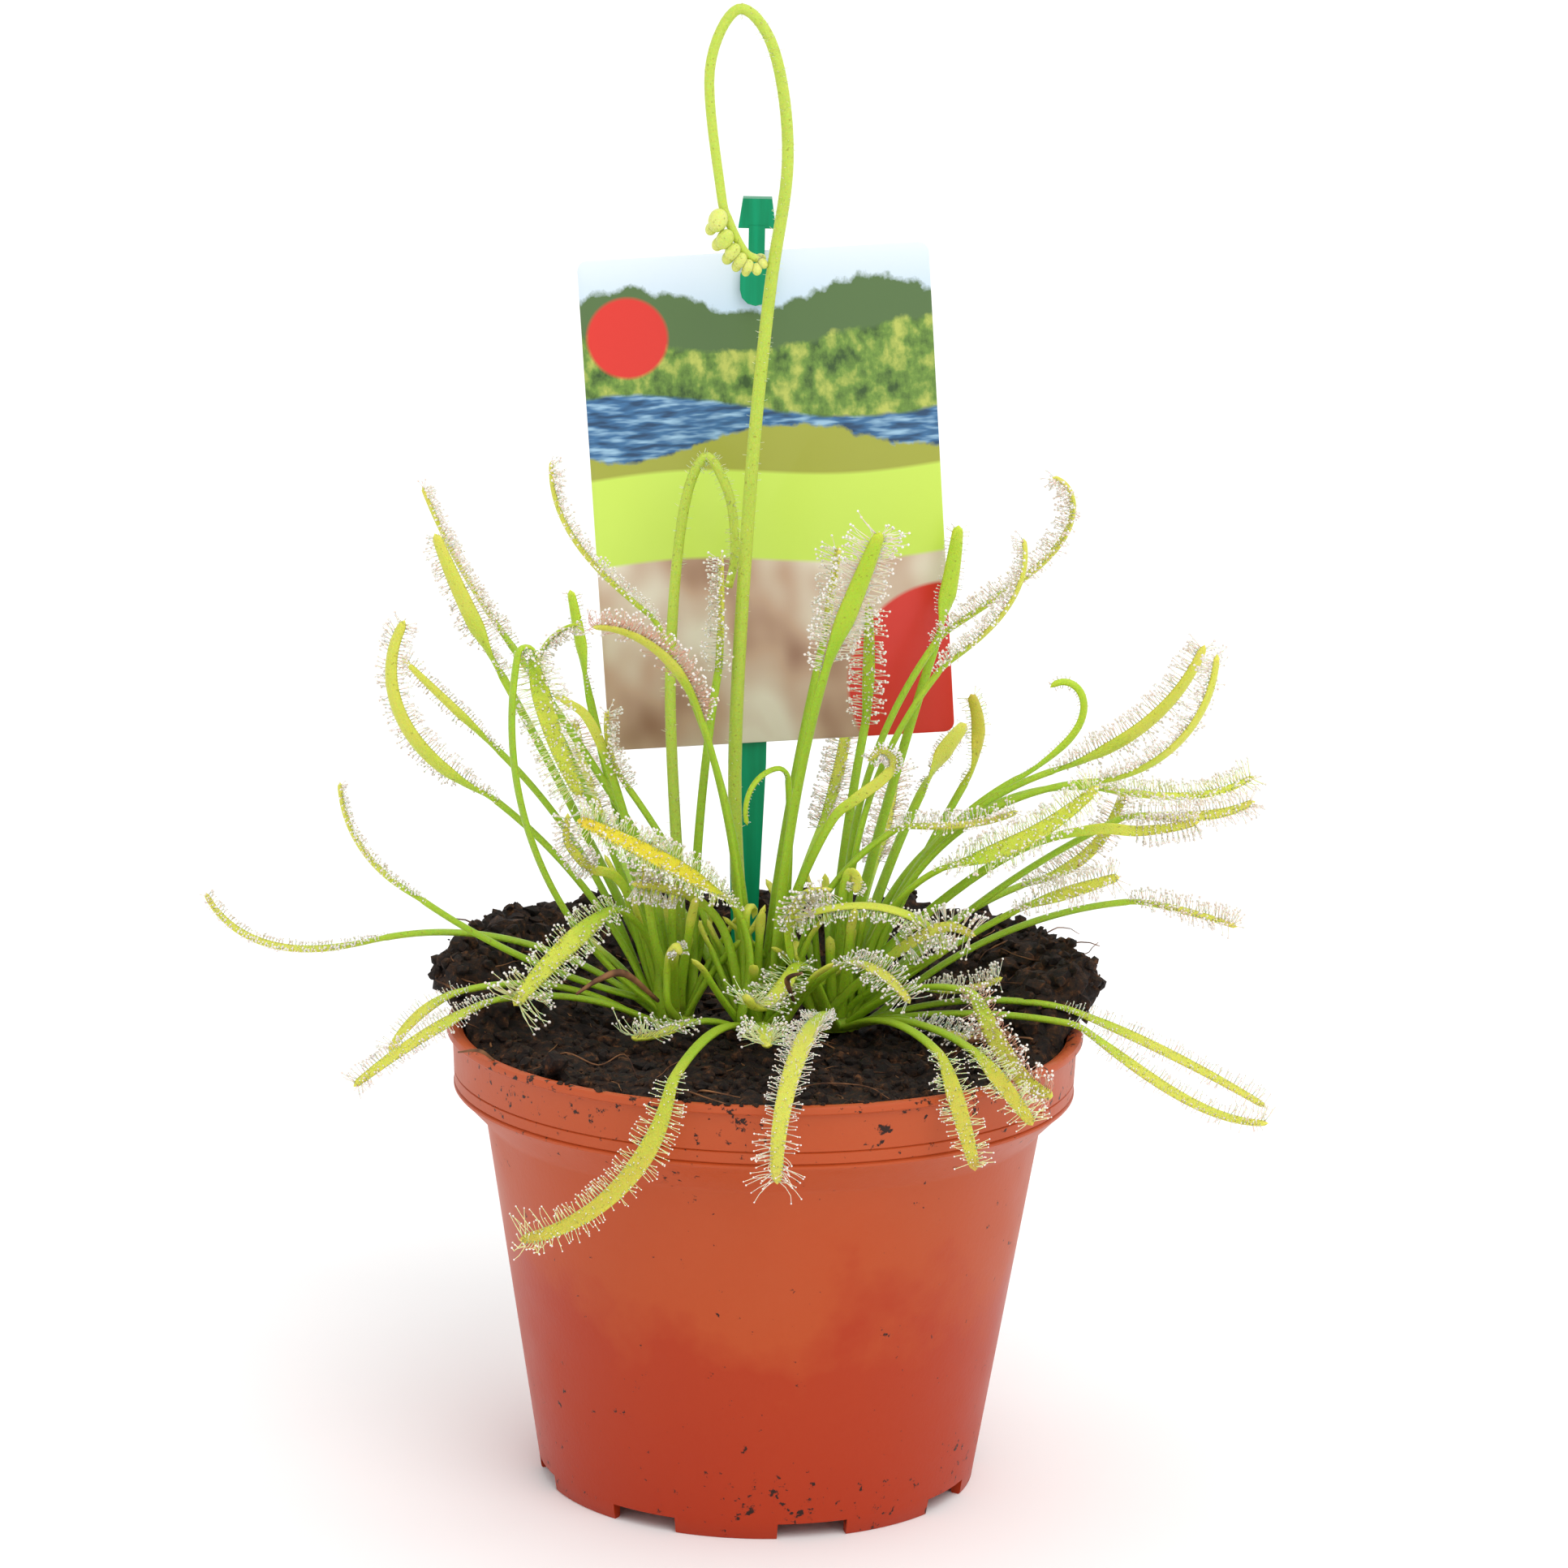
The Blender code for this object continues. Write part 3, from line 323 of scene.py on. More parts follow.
def route_frames(points):
    """Frames along a free route, with the upper face turned up and to the viewer."""
    route = smooth_path([Vector(p) for p in points], 6)
    frames = []
    s = 0.0
    for i, point in enumerate(route):
        tangent = (route[min(i + 1, len(route) - 1)] - route[max(i - 1, 0)]).normalized()
        up = Vector((0, -0.8, 0.5)) if not frames else frames[-1][4]
        normal = (up - tangent * up.dot(tangent)).normalized()
        frames.append((s, point, tangent, tangent.cross(normal), normal))
        if i + 1 < len(route):
            s += (route[i + 1] - point).length
    return frames


def linear(hexes):
    """Linear colour with alpha of an sRGB hex value."""
    channels = [int(hexes[i:i + 2], 16) / 255 for i in (1, 3, 5)]
    return tuple(c / 12.92 if c <= 0.04045 else ((c + 0.055) / 1.055) ** 2.4 for c in channels) + (1.0,)


def add(tree, kind, sockets=None, stops=None, out=0, **settings):
    """Add a node, set its settings, set or link its sockets, and give the output out; stops colour a ramp."""
    made = tree.nodes.new("ShaderNode" + kind)
    for key, value in settings.items():
        setattr(made, key, value)
    for key, value in (sockets or {}).items():
        if isinstance(value, bpy.types.NodeSocket):
            tree.links.new(value, made.inputs[key])
        else:
            made.inputs[key].default_value = value
    if stops:
        ramp = made.color_ramp
        while len(ramp.elements) < len(stops):
            ramp.elements.new(1.0)
        for element, (place, colour) in zip(ramp.elements, stops):
            element.position = place
            element.color = linear(colour) if isinstance(colour, str) else tuple(colour)
    return made.outputs[out]


def surface(name, **sockets):
    """Material with a Principled shader whose fixed values sit on its own sockets."""
    look = bpy.data.materials.new(name)
    look.use_nodes = True
    shader = look.node_tree.nodes["Principled BSDF"]
    for key, value in sockets.items():
        shader.inputs[key.replace("_", " ")].default_value = value
    return look, look.node_tree, shader


def bumped(tree, shader, height, distance, strength=0.5):
    """Bump the shader by a height."""
    bump = add(tree, "Bump", {"Height": height, "Distance": distance, "Strength": strength})
    tree.links.new(bump, shader.inputs["Normal"])


def make_piece(bm, name, looks, node=None):
    """Make the finished object of a mesh modelled in mm and ride it on the frame."""
    place = Matrix.Scale(MM, 4) @ Matrix.Translation((POT_OFFSET_X, 0, 0))
    bmesh.ops.transform(bm, matrix=place, verts=bm.verts)
    mesh = bpy.data.meshes.new(name)
    bm.to_mesh(mesh)
    bm.free()
    for look in looks:
        mesh.materials.append(look)
    mesh.shade_smooth()
    made = bpy.data.objects.new(name, mesh)
    bpy.context.scene.collection.objects.link(made)
    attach(made, "root")
    if node:
        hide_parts(node)
    return made


def rolled(bm, across, along, place, mark=None):
    """Roll a grid into a skin: place gives each corner's point from its turn and its share of the length."""
    layer = bm.verts.layers.float.get("along") or bm.verts.layers.float.new("along")
    made = bmesh.ops.create_grid(bm, x_segments=across, y_segments=along, size=0.5)["verts"]
    for vert in made:
        turn = min(max(vert.co.x + 0.5, 0.0), 1.0)
        share = min(max(vert.co.y + 0.5, 0.0), 1.0)
        vert.co = place(turn % 1.0, share)
        vert[layer] = mark(share) if mark else share
    bmesh.ops.remove_doubles(bm, verts=made, dist=1e-4)


def sweep(bm, route, radii, sides, mark=None):
    """Round skin along a route with a radius at each point, closed at both ends."""
    side = Vector((0.0, 1.0, 0.02)).normalized()
    rings = []
    for i, point in enumerate(route):
        tangent = (route[min(i + 1, len(route) - 1)] - route[max(i - 1, 0)]).normalized()
        side = (side - tangent * side.dot(tangent)).normalized()
        rings.append((point, side.copy(), tangent.cross(side), radii[i]))
    last = len(rings) + 1

    def place(turn, share):
        k = round(share * last)
        point, a, b, radius = rings[min(max(k - 1, 0), last - 2)]
        if k in (0, last):
            radius = 0.0
        angle = turn * 2 * math.pi
        return point + (a * math.cos(angle) + b * math.sin(angle)) * radius

    rolled(bm, sides, last, place, mark)


def smooth_path(points, per_span):
    """Catmull-Rom curve through points."""
    padded = [points[0] * 2 - points[1]] + points + [points[-1] * 2 - points[-2]]
    route = []
    for i in range(1, len(padded) - 2):
        a, b, c, d = padded[i - 1:i + 3]
        for k in range(per_span):
            t = k / per_span
            route.append(0.5 * (2 * b + (c - a) * t + (2 * a - 5 * b + 4 * c - d) * t * t
                                + (3 * b - a - 3 * c + d) * t ** 3))
    route.append(points[-1])
    return route


class Stamp:
    """A small mesh that is placed many times."""

    def __init__(self, bm):
        self.mesh = bpy.data.meshes.new("stamp")
        bm.to_mesh(self.mesh)
        bm.free()
        flat = np.empty(len(self.mesh.vertices) * 3, dtype=np.float32)
        self.mesh.vertices.foreach_get("co", flat)
        self.rest = flat.reshape(-1, 3)

    def put(self, bm, place, axes, scale):
        """Add a copy at place, with the columns axes and a scale."""
        turn = np.array([list(a) for a in axes], dtype=np.float32) * scale
        self.mesh.vertices.foreach_set("co", (self.rest @ turn + np.array(place, dtype=np.float32)).ravel())
        bm.from_mesh(self.mesh, face_normals=False, vertex_normals=False)

    def drop(self):
        """Remove the working mesh."""
        bpy.data.meshes.remove(self.mesh)


def frame_along(outward, toward):
    """Right-handed axes with Z outward and X leaning toward."""
    z = outward.normalized()
    x = toward - z * toward.dot(z)
    if x.length < 1e-4:
        x = z.orthogonal()
    x.normalize()
    return x, z.cross(x), z


# Materials


def leaf_material(name, petiole, knee, blade, tip):
    """Living leaf tissue: waxy, slightly translucent, greener on the petiole than on the blade."""
    look, tree, shader = surface(name, Roughness=0.42, IOR=1.42, Subsurface_Weight=0.7,
                                 Subsurface_Scale=0.0011)
    shader.inputs["Subsurface Radius"].default_value = (0.9, 1.0, 0.4)
    along = add(tree, "Attribute", out="Fac", attribute_name="along")
    where = add(tree, "TexCoord", out="Object")
    # Patches a few millimetres long shift the hue along each leaf
    patches = add(tree, "TexNoise", {"Vector": where, "Scale": 160.0, "Detail": 3.0})
    shifted = add(tree, "Math", {0: patches, 1: 0.22, 2: -0.11}, operation="MULTIPLY_ADD")
    place = add(tree, "Math", {0: along, 1: shifted}, operation="ADD")
    ramp = add(tree, "ValToRGB", {"Fac": place},
               stops=[(0.0, petiole), (0.42, petiole), (0.56, knee), (0.72, blade), (0.94, blade),
                      (1.0, tip)])
    # Cells about 0.15 mm wide mottle the skin
    cells = add(tree, "TexVoronoi", {"Vector": where, "Scale": 6500.0})
    dark = add(tree, "Mix", {0: 0.22, 6: ramp, 7: cells.node.outputs["Color"]}, out=2, data_type="RGBA",
               blend_type="SOFT_LIGHT")
    # Pin-prick glands about 0.2 mm across dot it with olive
    pricks = add(tree, "TexNoise", {"Vector": where, "Scale": 2200.0, "Detail": 1.0})
    dots = add(tree, "MapRange", {0: pricks, 1: 0.66, 2: 0.74, 3: 0.0, 4: 0.55})
    dotted = add(tree, "Mix", {0: dots, 6: dark, 7: linear("#857C22")}, out=2, data_type="RGBA")
    tree.links.new(dotted, shader.inputs["Base Color"])
    bumped(tree, shader, cells, 0.00012, 0.6)
    return look


def stalk_material(name, base, middle, head):
    """Tentacle stalk: a hair of clear cells that ends in a coloured gland."""
    look, tree, shader = surface(name, Roughness=0.35, IOR=1.4, Subsurface_Weight=0.6,
                                 Subsurface_Scale=0.0004)
    along = add(tree, "Attribute", out="Fac", attribute_name="along")
    ramp = add(tree, "ValToRGB", {"Fac": along},
               stops=[(0.0, base), (0.25, middle), (0.8, middle), (0.9, head)])
    tree.links.new(ramp, shader.inputs["Base Color"])
    return look


def dew_material():
    """Drop of sticky mucilage: wet, painted near white as a painted highlight for the glints on the clear
    drop, with a warm tint from the gland inside.
    """
    look, tree, shader = surface("mucilage_dew_painted_glint", Roughness=0.04, IOR=1.36, Transmission_Weight=0.12)
    where = add(tree, "TexCoord", out="Object")
    # The tint changes over about 1 mm, from drop to drop
    tint = add(tree, "TexNoise", {"Vector": where, "Scale": 900.0})
    # Painted highlight: the near-white stops stand in for the glints on the clear drop, and the warm stops
    # are the gland's own tint
    ramp = add(tree, "ValToRGB", {"Fac": tint},
               stops=[(0.35, "#FCF0E4"), (0.5, "#FFFFFB"), (0.65, "#F8E6DA")])
    tree.links.new(ramp, shader.inputs["Base Color"])
    return look


def peat_material():
    """Moist white-peat and black-peat mix: matt crumbs, near black with brown flecks."""
    look, tree, shader = surface("moist_peat", Roughness=0.9, IOR=1.45)
    where = add(tree, "TexCoord", out="Object")
    # Crumbs about 1 mm across carry flecks of 0.3 mm
    crumbs = add(tree, "TexNoise", {"Vector": where, "Scale": 700.0, "Detail": 6.0, "Roughness": 0.65})
    ramp = add(tree, "ValToRGB", {"Fac": crumbs},
               stops=[(0.30, "#0A0604"), (0.47, "#1C100A"), (0.58, "#38210F"), (0.70, "#6E4526")])
    tree.links.new(ramp, shader.inputs["Base Color"])
    bumped(tree, shader, crumbs, 0.0009, 0.8)
    return look


def fibre_material(name, dark, light):
    """Dry plant fibre: matt straw brown with darker stretches."""
    look, tree, shader = surface(name, Roughness=0.8, IOR=1.45)
    where = add(tree, "TexCoord", out="Object")
    # Stretches about 3 mm long
    patches = add(tree, "TexNoise", {"Vector": where, "Scale": 350.0, "Detail": 2.0})
    ramp = add(tree, "ValToRGB", {"Fac": patches}, stops=[(0.35, dark), (0.65, light)])
    tree.links.new(ramp, shader.inputs["Base Color"])
    return look


def pot_material(colour):
    """Thin moulded polypropylene, terracotta coloured: satin, stained by water, flecked with peat and painted
    darker towards the foot as painted shade.
    """
    look, tree, shader = surface("moulded_polypropylene_terracotta", IOR=1.49, Subsurface_Weight=0.06,
                                 Subsurface_Scale=0.001, Specular_IOR_Level=0.3)
    where = add(tree, "TexCoord", out="Object")
    height = add(tree, "SeparateXYZ", {0: where}, out="Z")
    # Painted shade darkens the body towards the foot, and dried water leaves paler clouds about 20 mm across
    clouds = add(tree, "TexNoise", {"Vector": where, "Scale": 45.0, "Detail": 4.0, "Roughness": 0.6})
    # Painted shade: the height moves the body up the ramp, so it is darker low down and lighter near the rim
    painted_shade_level = add(tree, "MapRange", {0: height, 1: 0.005, 2: 0.066, 3: 0.0, 4: 0.62})
    clouds_and_painted_shade = add(tree, "Math", {0: clouds, 1: 0.55, 2: painted_shade_level},
                operation="MULTIPLY_ADD")
    body = add(tree, "ValToRGB", {"Fac": clouds_and_painted_shade},
               stops=[(0.1, "#A62C05"), (0.50, "#AB3409"), (0.60, colour), (1.0, "#B6522A")])
    # Specks of peat about 0.6 mm across gather under the rim and near the foot
    specks = add(tree, "TexNoise", {"Vector": where, "Scale": 620.0, "Detail": 3.0, "Roughness": 0.7})
    groups = add(tree, "TexNoise", {"Vector": where, "Scale": 90.0, "Detail": 2.0})
    top = add(tree, "MapRange", {0: height, 1: 0.050, 2: 0.067, 3: 0.01, 4: 0.12})
    low = add(tree, "MapRange", {0: height, 1: 0.030, 2: 0.0, 3: 0.0, 4: 0.08})
    likely = add(tree, "Math", {0: top, 1: low}, operation="ADD")
    close = add(tree, "Math", {0: groups, 1: 0.32, 2: likely},
                operation="MULTIPLY_ADD")
    raw = add(tree, "Math", {0: specks, 1: close}, operation="ADD")
    dirt = add(tree, "MapRange", {0: raw, 1: 0.875, 2: 0.93})
    soiled = add(tree, "Mix", {0: dirt, 6: body, 7: linear("#2A1107")},
                 out=2, data_type="RGBA")
    tree.links.new(soiled, shader.inputs["Base Color"])
    rough = add(tree, "MapRange", {0: clouds, 1: 0.3, 2: 0.7, 3: 0.34, 4: 0.5})
    tree.links.new(rough, shader.inputs["Roughness"])
    # A grain of 0.7 mm and the specks roughen the moulding
    grain = add(tree, "TexNoise", {"Vector": where, "Scale": 1500.0, "Detail": 2.0})
    raised = add(tree, "Math", {0: dirt, 1: 2.0, 2: grain}, operation="MULTIPLY_ADD")
    bumped(tree, shader, raised, 0.00005, 0.5)
    return look


def stake_material(colour):
    """Injection-moulded polypropylene, dyed green: satin with fine flow marks along the strip."""
    look, tree, shader = surface("moulded_polypropylene_green", Roughness=0.38, IOR=1.49,
                                 Specular_IOR_Level=0.25)
    where = add(tree, "TexCoord", out="Object")
    # Marks 1 mm wide and 17 mm long
    stretched = add(tree, "Mapping", {"Vector": where, "Scale": (900.0, 900.0, 60.0)})
    flow = add(tree, "TexNoise", {"Vector": stretched, "Scale": 1.0, "Detail": 3.0})
    ramp = add(tree, "ValToRGB", {"Fac": flow}, stops=[(0.3, "#048458"), (0.7, colour)])
    tree.links.new(ramp, shader.inputs["Base Color"])
    bumped(tree, shader, flow, 0.00008, 0.4)
    return look


def card_material(lime, red):
    """Printed polypropylene card: a plain landscape of our own in the usual garden-label colours."""
    look, tree, shader = surface("printed_card", Roughness=0.32, IOR=1.5)
    uv = add(tree, "TexCoord", out="UV")
    u = add(tree, "SeparateXYZ", {0: uv})
    v = u.node.outputs["Y"]
    # Flecks 3 to 4 mm across and clouds 14 to 20 mm across, as shares of the card
    fleck = add(tree, "TexNoise", {"Vector": uv, "Scale": 16.0, "Detail": 5.0, "Roughness": 0.6})
    cloud = add(tree, "TexNoise", {"Vector": uv, "Scale": 3.5, "Detail": 2.0})

    def below(base, swing, waves, start, soft=0.004, rough=0.0):
        """Mask of what lies under a waved line across the card."""
        phase = add(tree, "Math", {0: u, 1: waves, 2: start}, operation="MULTIPLY_ADD")
        wave = add(tree, "Math", {0: phase}, operation="SINE")
        line = add(tree, "Math", {0: wave, 1: swing, 2: base}, operation="MULTIPLY_ADD")
        line = add(tree, "Math", {0: fleck, 1: rough, 2: line}, operation="MULTIPLY_ADD")
        gap = add(tree, "Math", {0: line, 1: v}, operation="SUBTRACT")
        return add(tree, "MapRange", {0: gap, 1: -soft, 2: soft})

    def disc(x, y, radius):
        """Mask of a round spot, with the card's own proportions."""
        tall = CARD_HEIGHT / CARD_WIDTH
        du = add(tree, "Math", {0: u, 1: -x}, operation="ADD")
        dv = add(tree, "Math", {0: v, 1: tall, 2: -tall * y}, operation="MULTIPLY_ADD")
        place = add(tree, "CombineXYZ", {0: du, 1: dv})
        far = add(tree, "VectorMath", {0: place}, out="Value", operation="LENGTH")
        return add(tree, "MapRange", {0: far, 1: radius + 0.006, 2: radius - 0.006})

    leaves = add(tree, "ValToRGB", {"Fac": fleck},
                 stops=[(0.35, "#33521F"), (0.5, "#6E9238"), (0.65, "#B9C25A")])
    # Ripples lie across the water, 5 mm long and 1 mm high
    swept = add(tree, "Mapping", {"Vector": uv, "Scale": (10.0, 75.0, 1.0)})
    ripple = add(tree, "TexNoise", {"Vector": swept, "Scale": 1.0, "Detail": 2.0})
    water = add(tree, "ValToRGB", {"Fac": ripple},
                stops=[(0.35, "#1F4468"), (0.5, "#3B6F9E"), (0.68, "#9CC3DE")])
    earth = add(tree, "ValToRGB", {"Fac": cloud},
                stops=[(0.3, "#8A5A45"), (0.45, "#C9A78F"), (0.6, "#E9DFCC")])
    picture = add(tree, "ValToRGB", {"Fac": v}, stops=[(0.78, "#A9CBE6"), (1.0, "#E4EEF6")])
    # Masks and colours, from the back of the picture to the front
    layers = [
        (below(0.88, 0.03, 9.0, 0.4, 0.006, 0.06), linear("#54703F")),
        (below(0.80, 0.025, 6.0, 2.0, 0.006, 0.05), leaves),
        (below(0.68, 0.035, 4.5, 1.1, 0.004, 0.02), water),
        (below(0.60, 0.03, 7.0, 4.0, 0.004, 0.04), linear("#A5A93E")),
        (disc(0.13, 0.84, 0.115), red),
        (below(0.555, 0.012, 6.3, 0.0), lime),
        (below(0.375, 0.012, 6.3, 0.0), earth),
        (disc(1.0, 0.10, 0.30), red),
    ]
    for mask, colour in layers:
        picture = add(tree, "Mix", {0: mask, 6: picture, 7: colour}, out=2, data_type="RGBA")
    tree.links.new(picture, shader.inputs["Base Color"])
    return look


# Pieces


def length_setting(name, description, default):
    """A length that a user would change, in metres."""
    return bpy.props.FloatProperty(name=name, description=description, default=default, unit="LENGTH",
                                   subtype="DISTANCE", precision=5)


def count_setting(name, description, default):
    """A number of small parts that a user would change."""
    return bpy.props.IntProperty(name=name, description=description, default=default, min=0)


def colour_setting(name, description, hexes):
    """A colour that a user would change."""
    return bpy.props.FloatVectorProperty(name=name, description=description, subtype="COLOR", size=4,
                                         default=linear(hexes))


class SundewSizes(bpy.types.PropertyGroup):
    """Sizes and numbers of the small parts."""

    tentacle_length: length_setting("Tentacle length", "Length of the longest tentacles", 0.0031)
    drop_radius: length_setting("Drop radius", "Radius of a drop of dew", 0.00021)
    tentacles_per_mm: bpy.props.FloatProperty(name="Tentacles", description="Tentacles per mm of blade",
                                              default=16.0, min=0.0)
    crumbs: count_setting("Crumbs", "Loose crumbs on the peat", 3500)
    clods: count_setting("Clods", "Larger lumps on the peat", 90)
    fibres: count_setting("Fibres", "Fibres on the peat", 130)
    seed: bpy.props.IntProperty(name="Seed", description="Seed of every random draw", default=11)


class SundewColours(bpy.types.PropertyGroup):
    """Colours that a user would change."""

    petiole: colour_setting("Petiole", "Colour of the leaf stalks", "#9ABB28")
    blade: colour_setting("Blade", "Colour of the leaf blades", "#D0D254")
    pot: colour_setting("Pot", "Colour of the pot's upper body", "#B4481A")
    stake: colour_setting("Stake", "Colour of the label's stake", "#04986B")
    lime: colour_setting("Label band", "Colour of the label's band", "#CDE95C")
    red: colour_setting("Label spots", "Colour of the label's spots", "#DC3226")


def tentacle_stamps(sizes, share=1.0):
    """Tentacles of several lengths and bends: a tapered stalk with a gland and a drop of dew on it."""
    stamps = {}
    drop = sizes.drop_radius / MM * share
    for length in TENTACLE_LENGTHS:
        for bend in TENTACLE_BENDS:
            route = [Vector((0, 0, -0.12))]
            steps = 5 if bend > 2 else 3 if length > 1.5 else 2
            for k in range(1, steps + 1):
                lean = bend * (k / steps) ** 1.6
                route.append(route[-1] + Vector((math.sin(lean), 0, math.cos(lean))) * length / steps)
            thick = 0.05 + 0.011 * length
            radii = [thick * (1.0 - 0.55 * k / steps) for k in range(steps + 1)]
            radii[-1] = 0.055
            bm = bmesh.new()
            sweep(bm, route, radii, 3)
            for face in bm.faces:
                face.material_index = 1
            size = drop * (0.62 if length < 1.2 else 0.8 if length < 2 else 0.95)
            if length > 1:
                ball = bmesh.ops.create_icosphere(bm, subdivisions=1, radius=size)["verts"]
            else:
                ball = bmesh.ops.create_uvsphere(bm, u_segments=4, v_segments=2, radius=size * 1.15)["verts"]
            for face in {f for v in ball for f in v.link_faces}:
                face.material_index = 2
            ahead = (route[-1] - route[-2]).normalized()
            bmesh.ops.translate(bm, vec=route[-1] + ahead * size * 0.35, verts=ball)
            stamps[length, bend] = Stamp(bm)
    return stamps


def add_tentacles(bm, frames, spec, stamps, sizes, rng):
    """Cover the upper face and the margins of a blade with tentacles, longest at the tip."""
    longest = sizes.tentacle_length / MM
    wanted = int(spec["blade"] * sizes.tentacles_per_mm * spec.get("density", 1.0))
    reach, tip_reach = spec["reach"]
    first = next(i for i, each in enumerate(frames) if each[0] >= 0)
    for n in range(wanted):
        share = (n + rng.random()) / wanted
        if share < 0.05 and rng.random() < 0.6:
            continue
        s = spec["petiole"] + share * spec["blade"]
        k = first + min(int(s / frames[-1][0] * (len(frames) - 1 - first)), len(frames) - 1 - first)
        _, position, tangent, side, normal = frames[k]
        half = blade_half(spec, share)
        sign = rng.choice((-1, 1))
        kind = rng.random()
        tip = max(0.0, (share - 0.8) / 0.2)
        if kind < MARGIN_SHARE:
            across, lift = 0.96, math.radians(rng.uniform(-22, 38))
            length = longest * rng.uniform(0.72, 1.12) * (1.0 + 0.32 * tip)
        elif kind < NEAR_SHARE:
            across, lift = rng.uniform(0.6, 0.9), math.radians(rng.uniform(30, 66))
            length = longest * rng.uniform(0.5, 0.85) * (1.0 + 0.25 * tip)
        else:
            across, lift = rng.uniform(0.0, 0.6), math.radians(rng.uniform(62, 94))
            length = longest * rng.uniform(0.14, 0.36)
        length *= min(1.0, 0.45 + share * 4) * (reach + (tip_reach - reach) * tip)
        lean = rng.uniform(-0.18, 0.22) + 0.9 * tip * tip * rng.random()
        outward = (side * sign * math.cos(lift) + normal * math.sin(lift) + tangent * lean).normalized()
        root = position + side * sign * half * across + normal * blade_rise(half, across)
        near = min(TENTACLE_LENGTHS, key=lambda x: abs(x - length))
        bend = rng.choice(TIP_BENDS if tip > 0.4 and tip_reach > 1 else spec.get("bends", USUAL_BENDS))
        stamps[near, bend].put(bm, root, frame_along(outward, normal + tangent * rng.uniform(-0.4, 0.4)),
                               length / near)


def knee_half(spec):
    """Half the width of a leaf at its knee: a wide blade has a stout petiole."""
    return 0.38 + 0.14 * spec["width"]


def blade_half(spec, share):
    """Half the width of a blade at a share of its length."""
    swell = min(share * 2.3, 1.0)
    swell = swell * swell * (3 - 2 * swell)
    close = math.sqrt(max(0.0, 1.0 - max(0.0, (share - 0.95) / 0.05) ** 2))
    knee = knee_half(spec)
    return (knee + (spec["width"] / 2 - knee) * swell) * (1.0 - 0.45 * share ** 3) * close


def blade_rise(half, across):
    """How far the blade's upper face stands above its middle line: the margins turn up."""
    return half * 0.28 * across * across + BLADE_THICKNESS * 0.3 * math.sqrt(max(0.0, 1 - across * across))


def add_leaf(bm, frames, spec):
    """Petiole and strap-like blade with turned-up margins as one skin."""
    last = len(frames) + 1

    def place(turn, share):
        k = round(share * last)
        s, position, tangent, side, normal = frames[min(max(k - 1, 0), last - 2)]
        blade_share = (s - spec["petiole"]) / spec["blade"]
        base = min(max(0.0, 1 - s / spec["petiole"]), 1.6) ** 1.6
        angle = turn * 2 * math.pi
        x, y = math.cos(angle), math.sin(angle)
        if k == 0:
            return position - tangent * 0.3
        if k == last:
            return position + tangent * 0.1
        if blade_share <= 0:
            half, thick, cup = knee_half(spec) * (1.0 + 0.34 * base), PETIOLE_THICKNESS / 2, 0.05
        else:
            half = max(blade_half(spec, blade_share), 0.06)
            slim = min(blade_share * 5, 1.0)
            thick = (PETIOLE_THICKNESS + (BLADE_THICKNESS - PETIOLE_THICKNESS) * slim) / 2 * 0.85
            thick = min(thick, half)
            cup = 0.28 * slim
        return position + side * half * x + normal * (thick * y + half * cup * x * x - half * cup * 0.3)

    def mark(share):
        s = max(frames[min(max(round(share * last) - 1, 0), last - 2)][0], 0.0)
        return 0.5 * min(s / spec["petiole"], 1.0) + 0.5 * max(s - spec["petiole"], 0.0) / spec["blade"]

    rolled(bm, 10, last, place, mark)


class SUNDEW_OT_leaves(bpy.types.Operator):
    """Build every leaf with its tentacles and dew over its solid."""

    bl_idname = "sundew.leaves"
    bl_label = "Leaves"

    def execute(self, context):
        sizes = context.scene.sundew_sizes
        wet, dry = tentacle_stamps(sizes), tentacle_stamps(sizes, DRY_DROP)
        for index, spec in enumerate(LEAVES, 1):
            spec = dict(spec)
            kind = KINDS.get(index, "green")
            if kind == "red":
                spec["bends"] = TENTACLE_BENDS
            spec["reach"] = REACHES.get(index, USUAL_REACH)
            stamps = dry if index in DRY else wet
            spec["density"] = THIN_DENSITY if index in DRY + LOOSE else 1.0
            rng = random.Random(sizes.seed * 100 + index)
            frames = leaf_frames(spec)
            bm = bmesh.new()
            add_leaf(bm, frames, spec)
            add_tentacles(bm, frames, spec, stamps, sizes, rng)
            stalk = LOOKS[STALKS.get(kind, "stalk_pale")]
            skin = LOOKS["leaf_" + ("green" if kind == "red" else kind)]
            make_piece(bm, f"sundew_leaf_{index:02d}", [skin, stalk, LOOKS["dew"]], f"leaf_{index:02d}")
        for stamp in (*wet.values(), *dry.values()):
            stamp.drop()
        return {"FINISHED"}


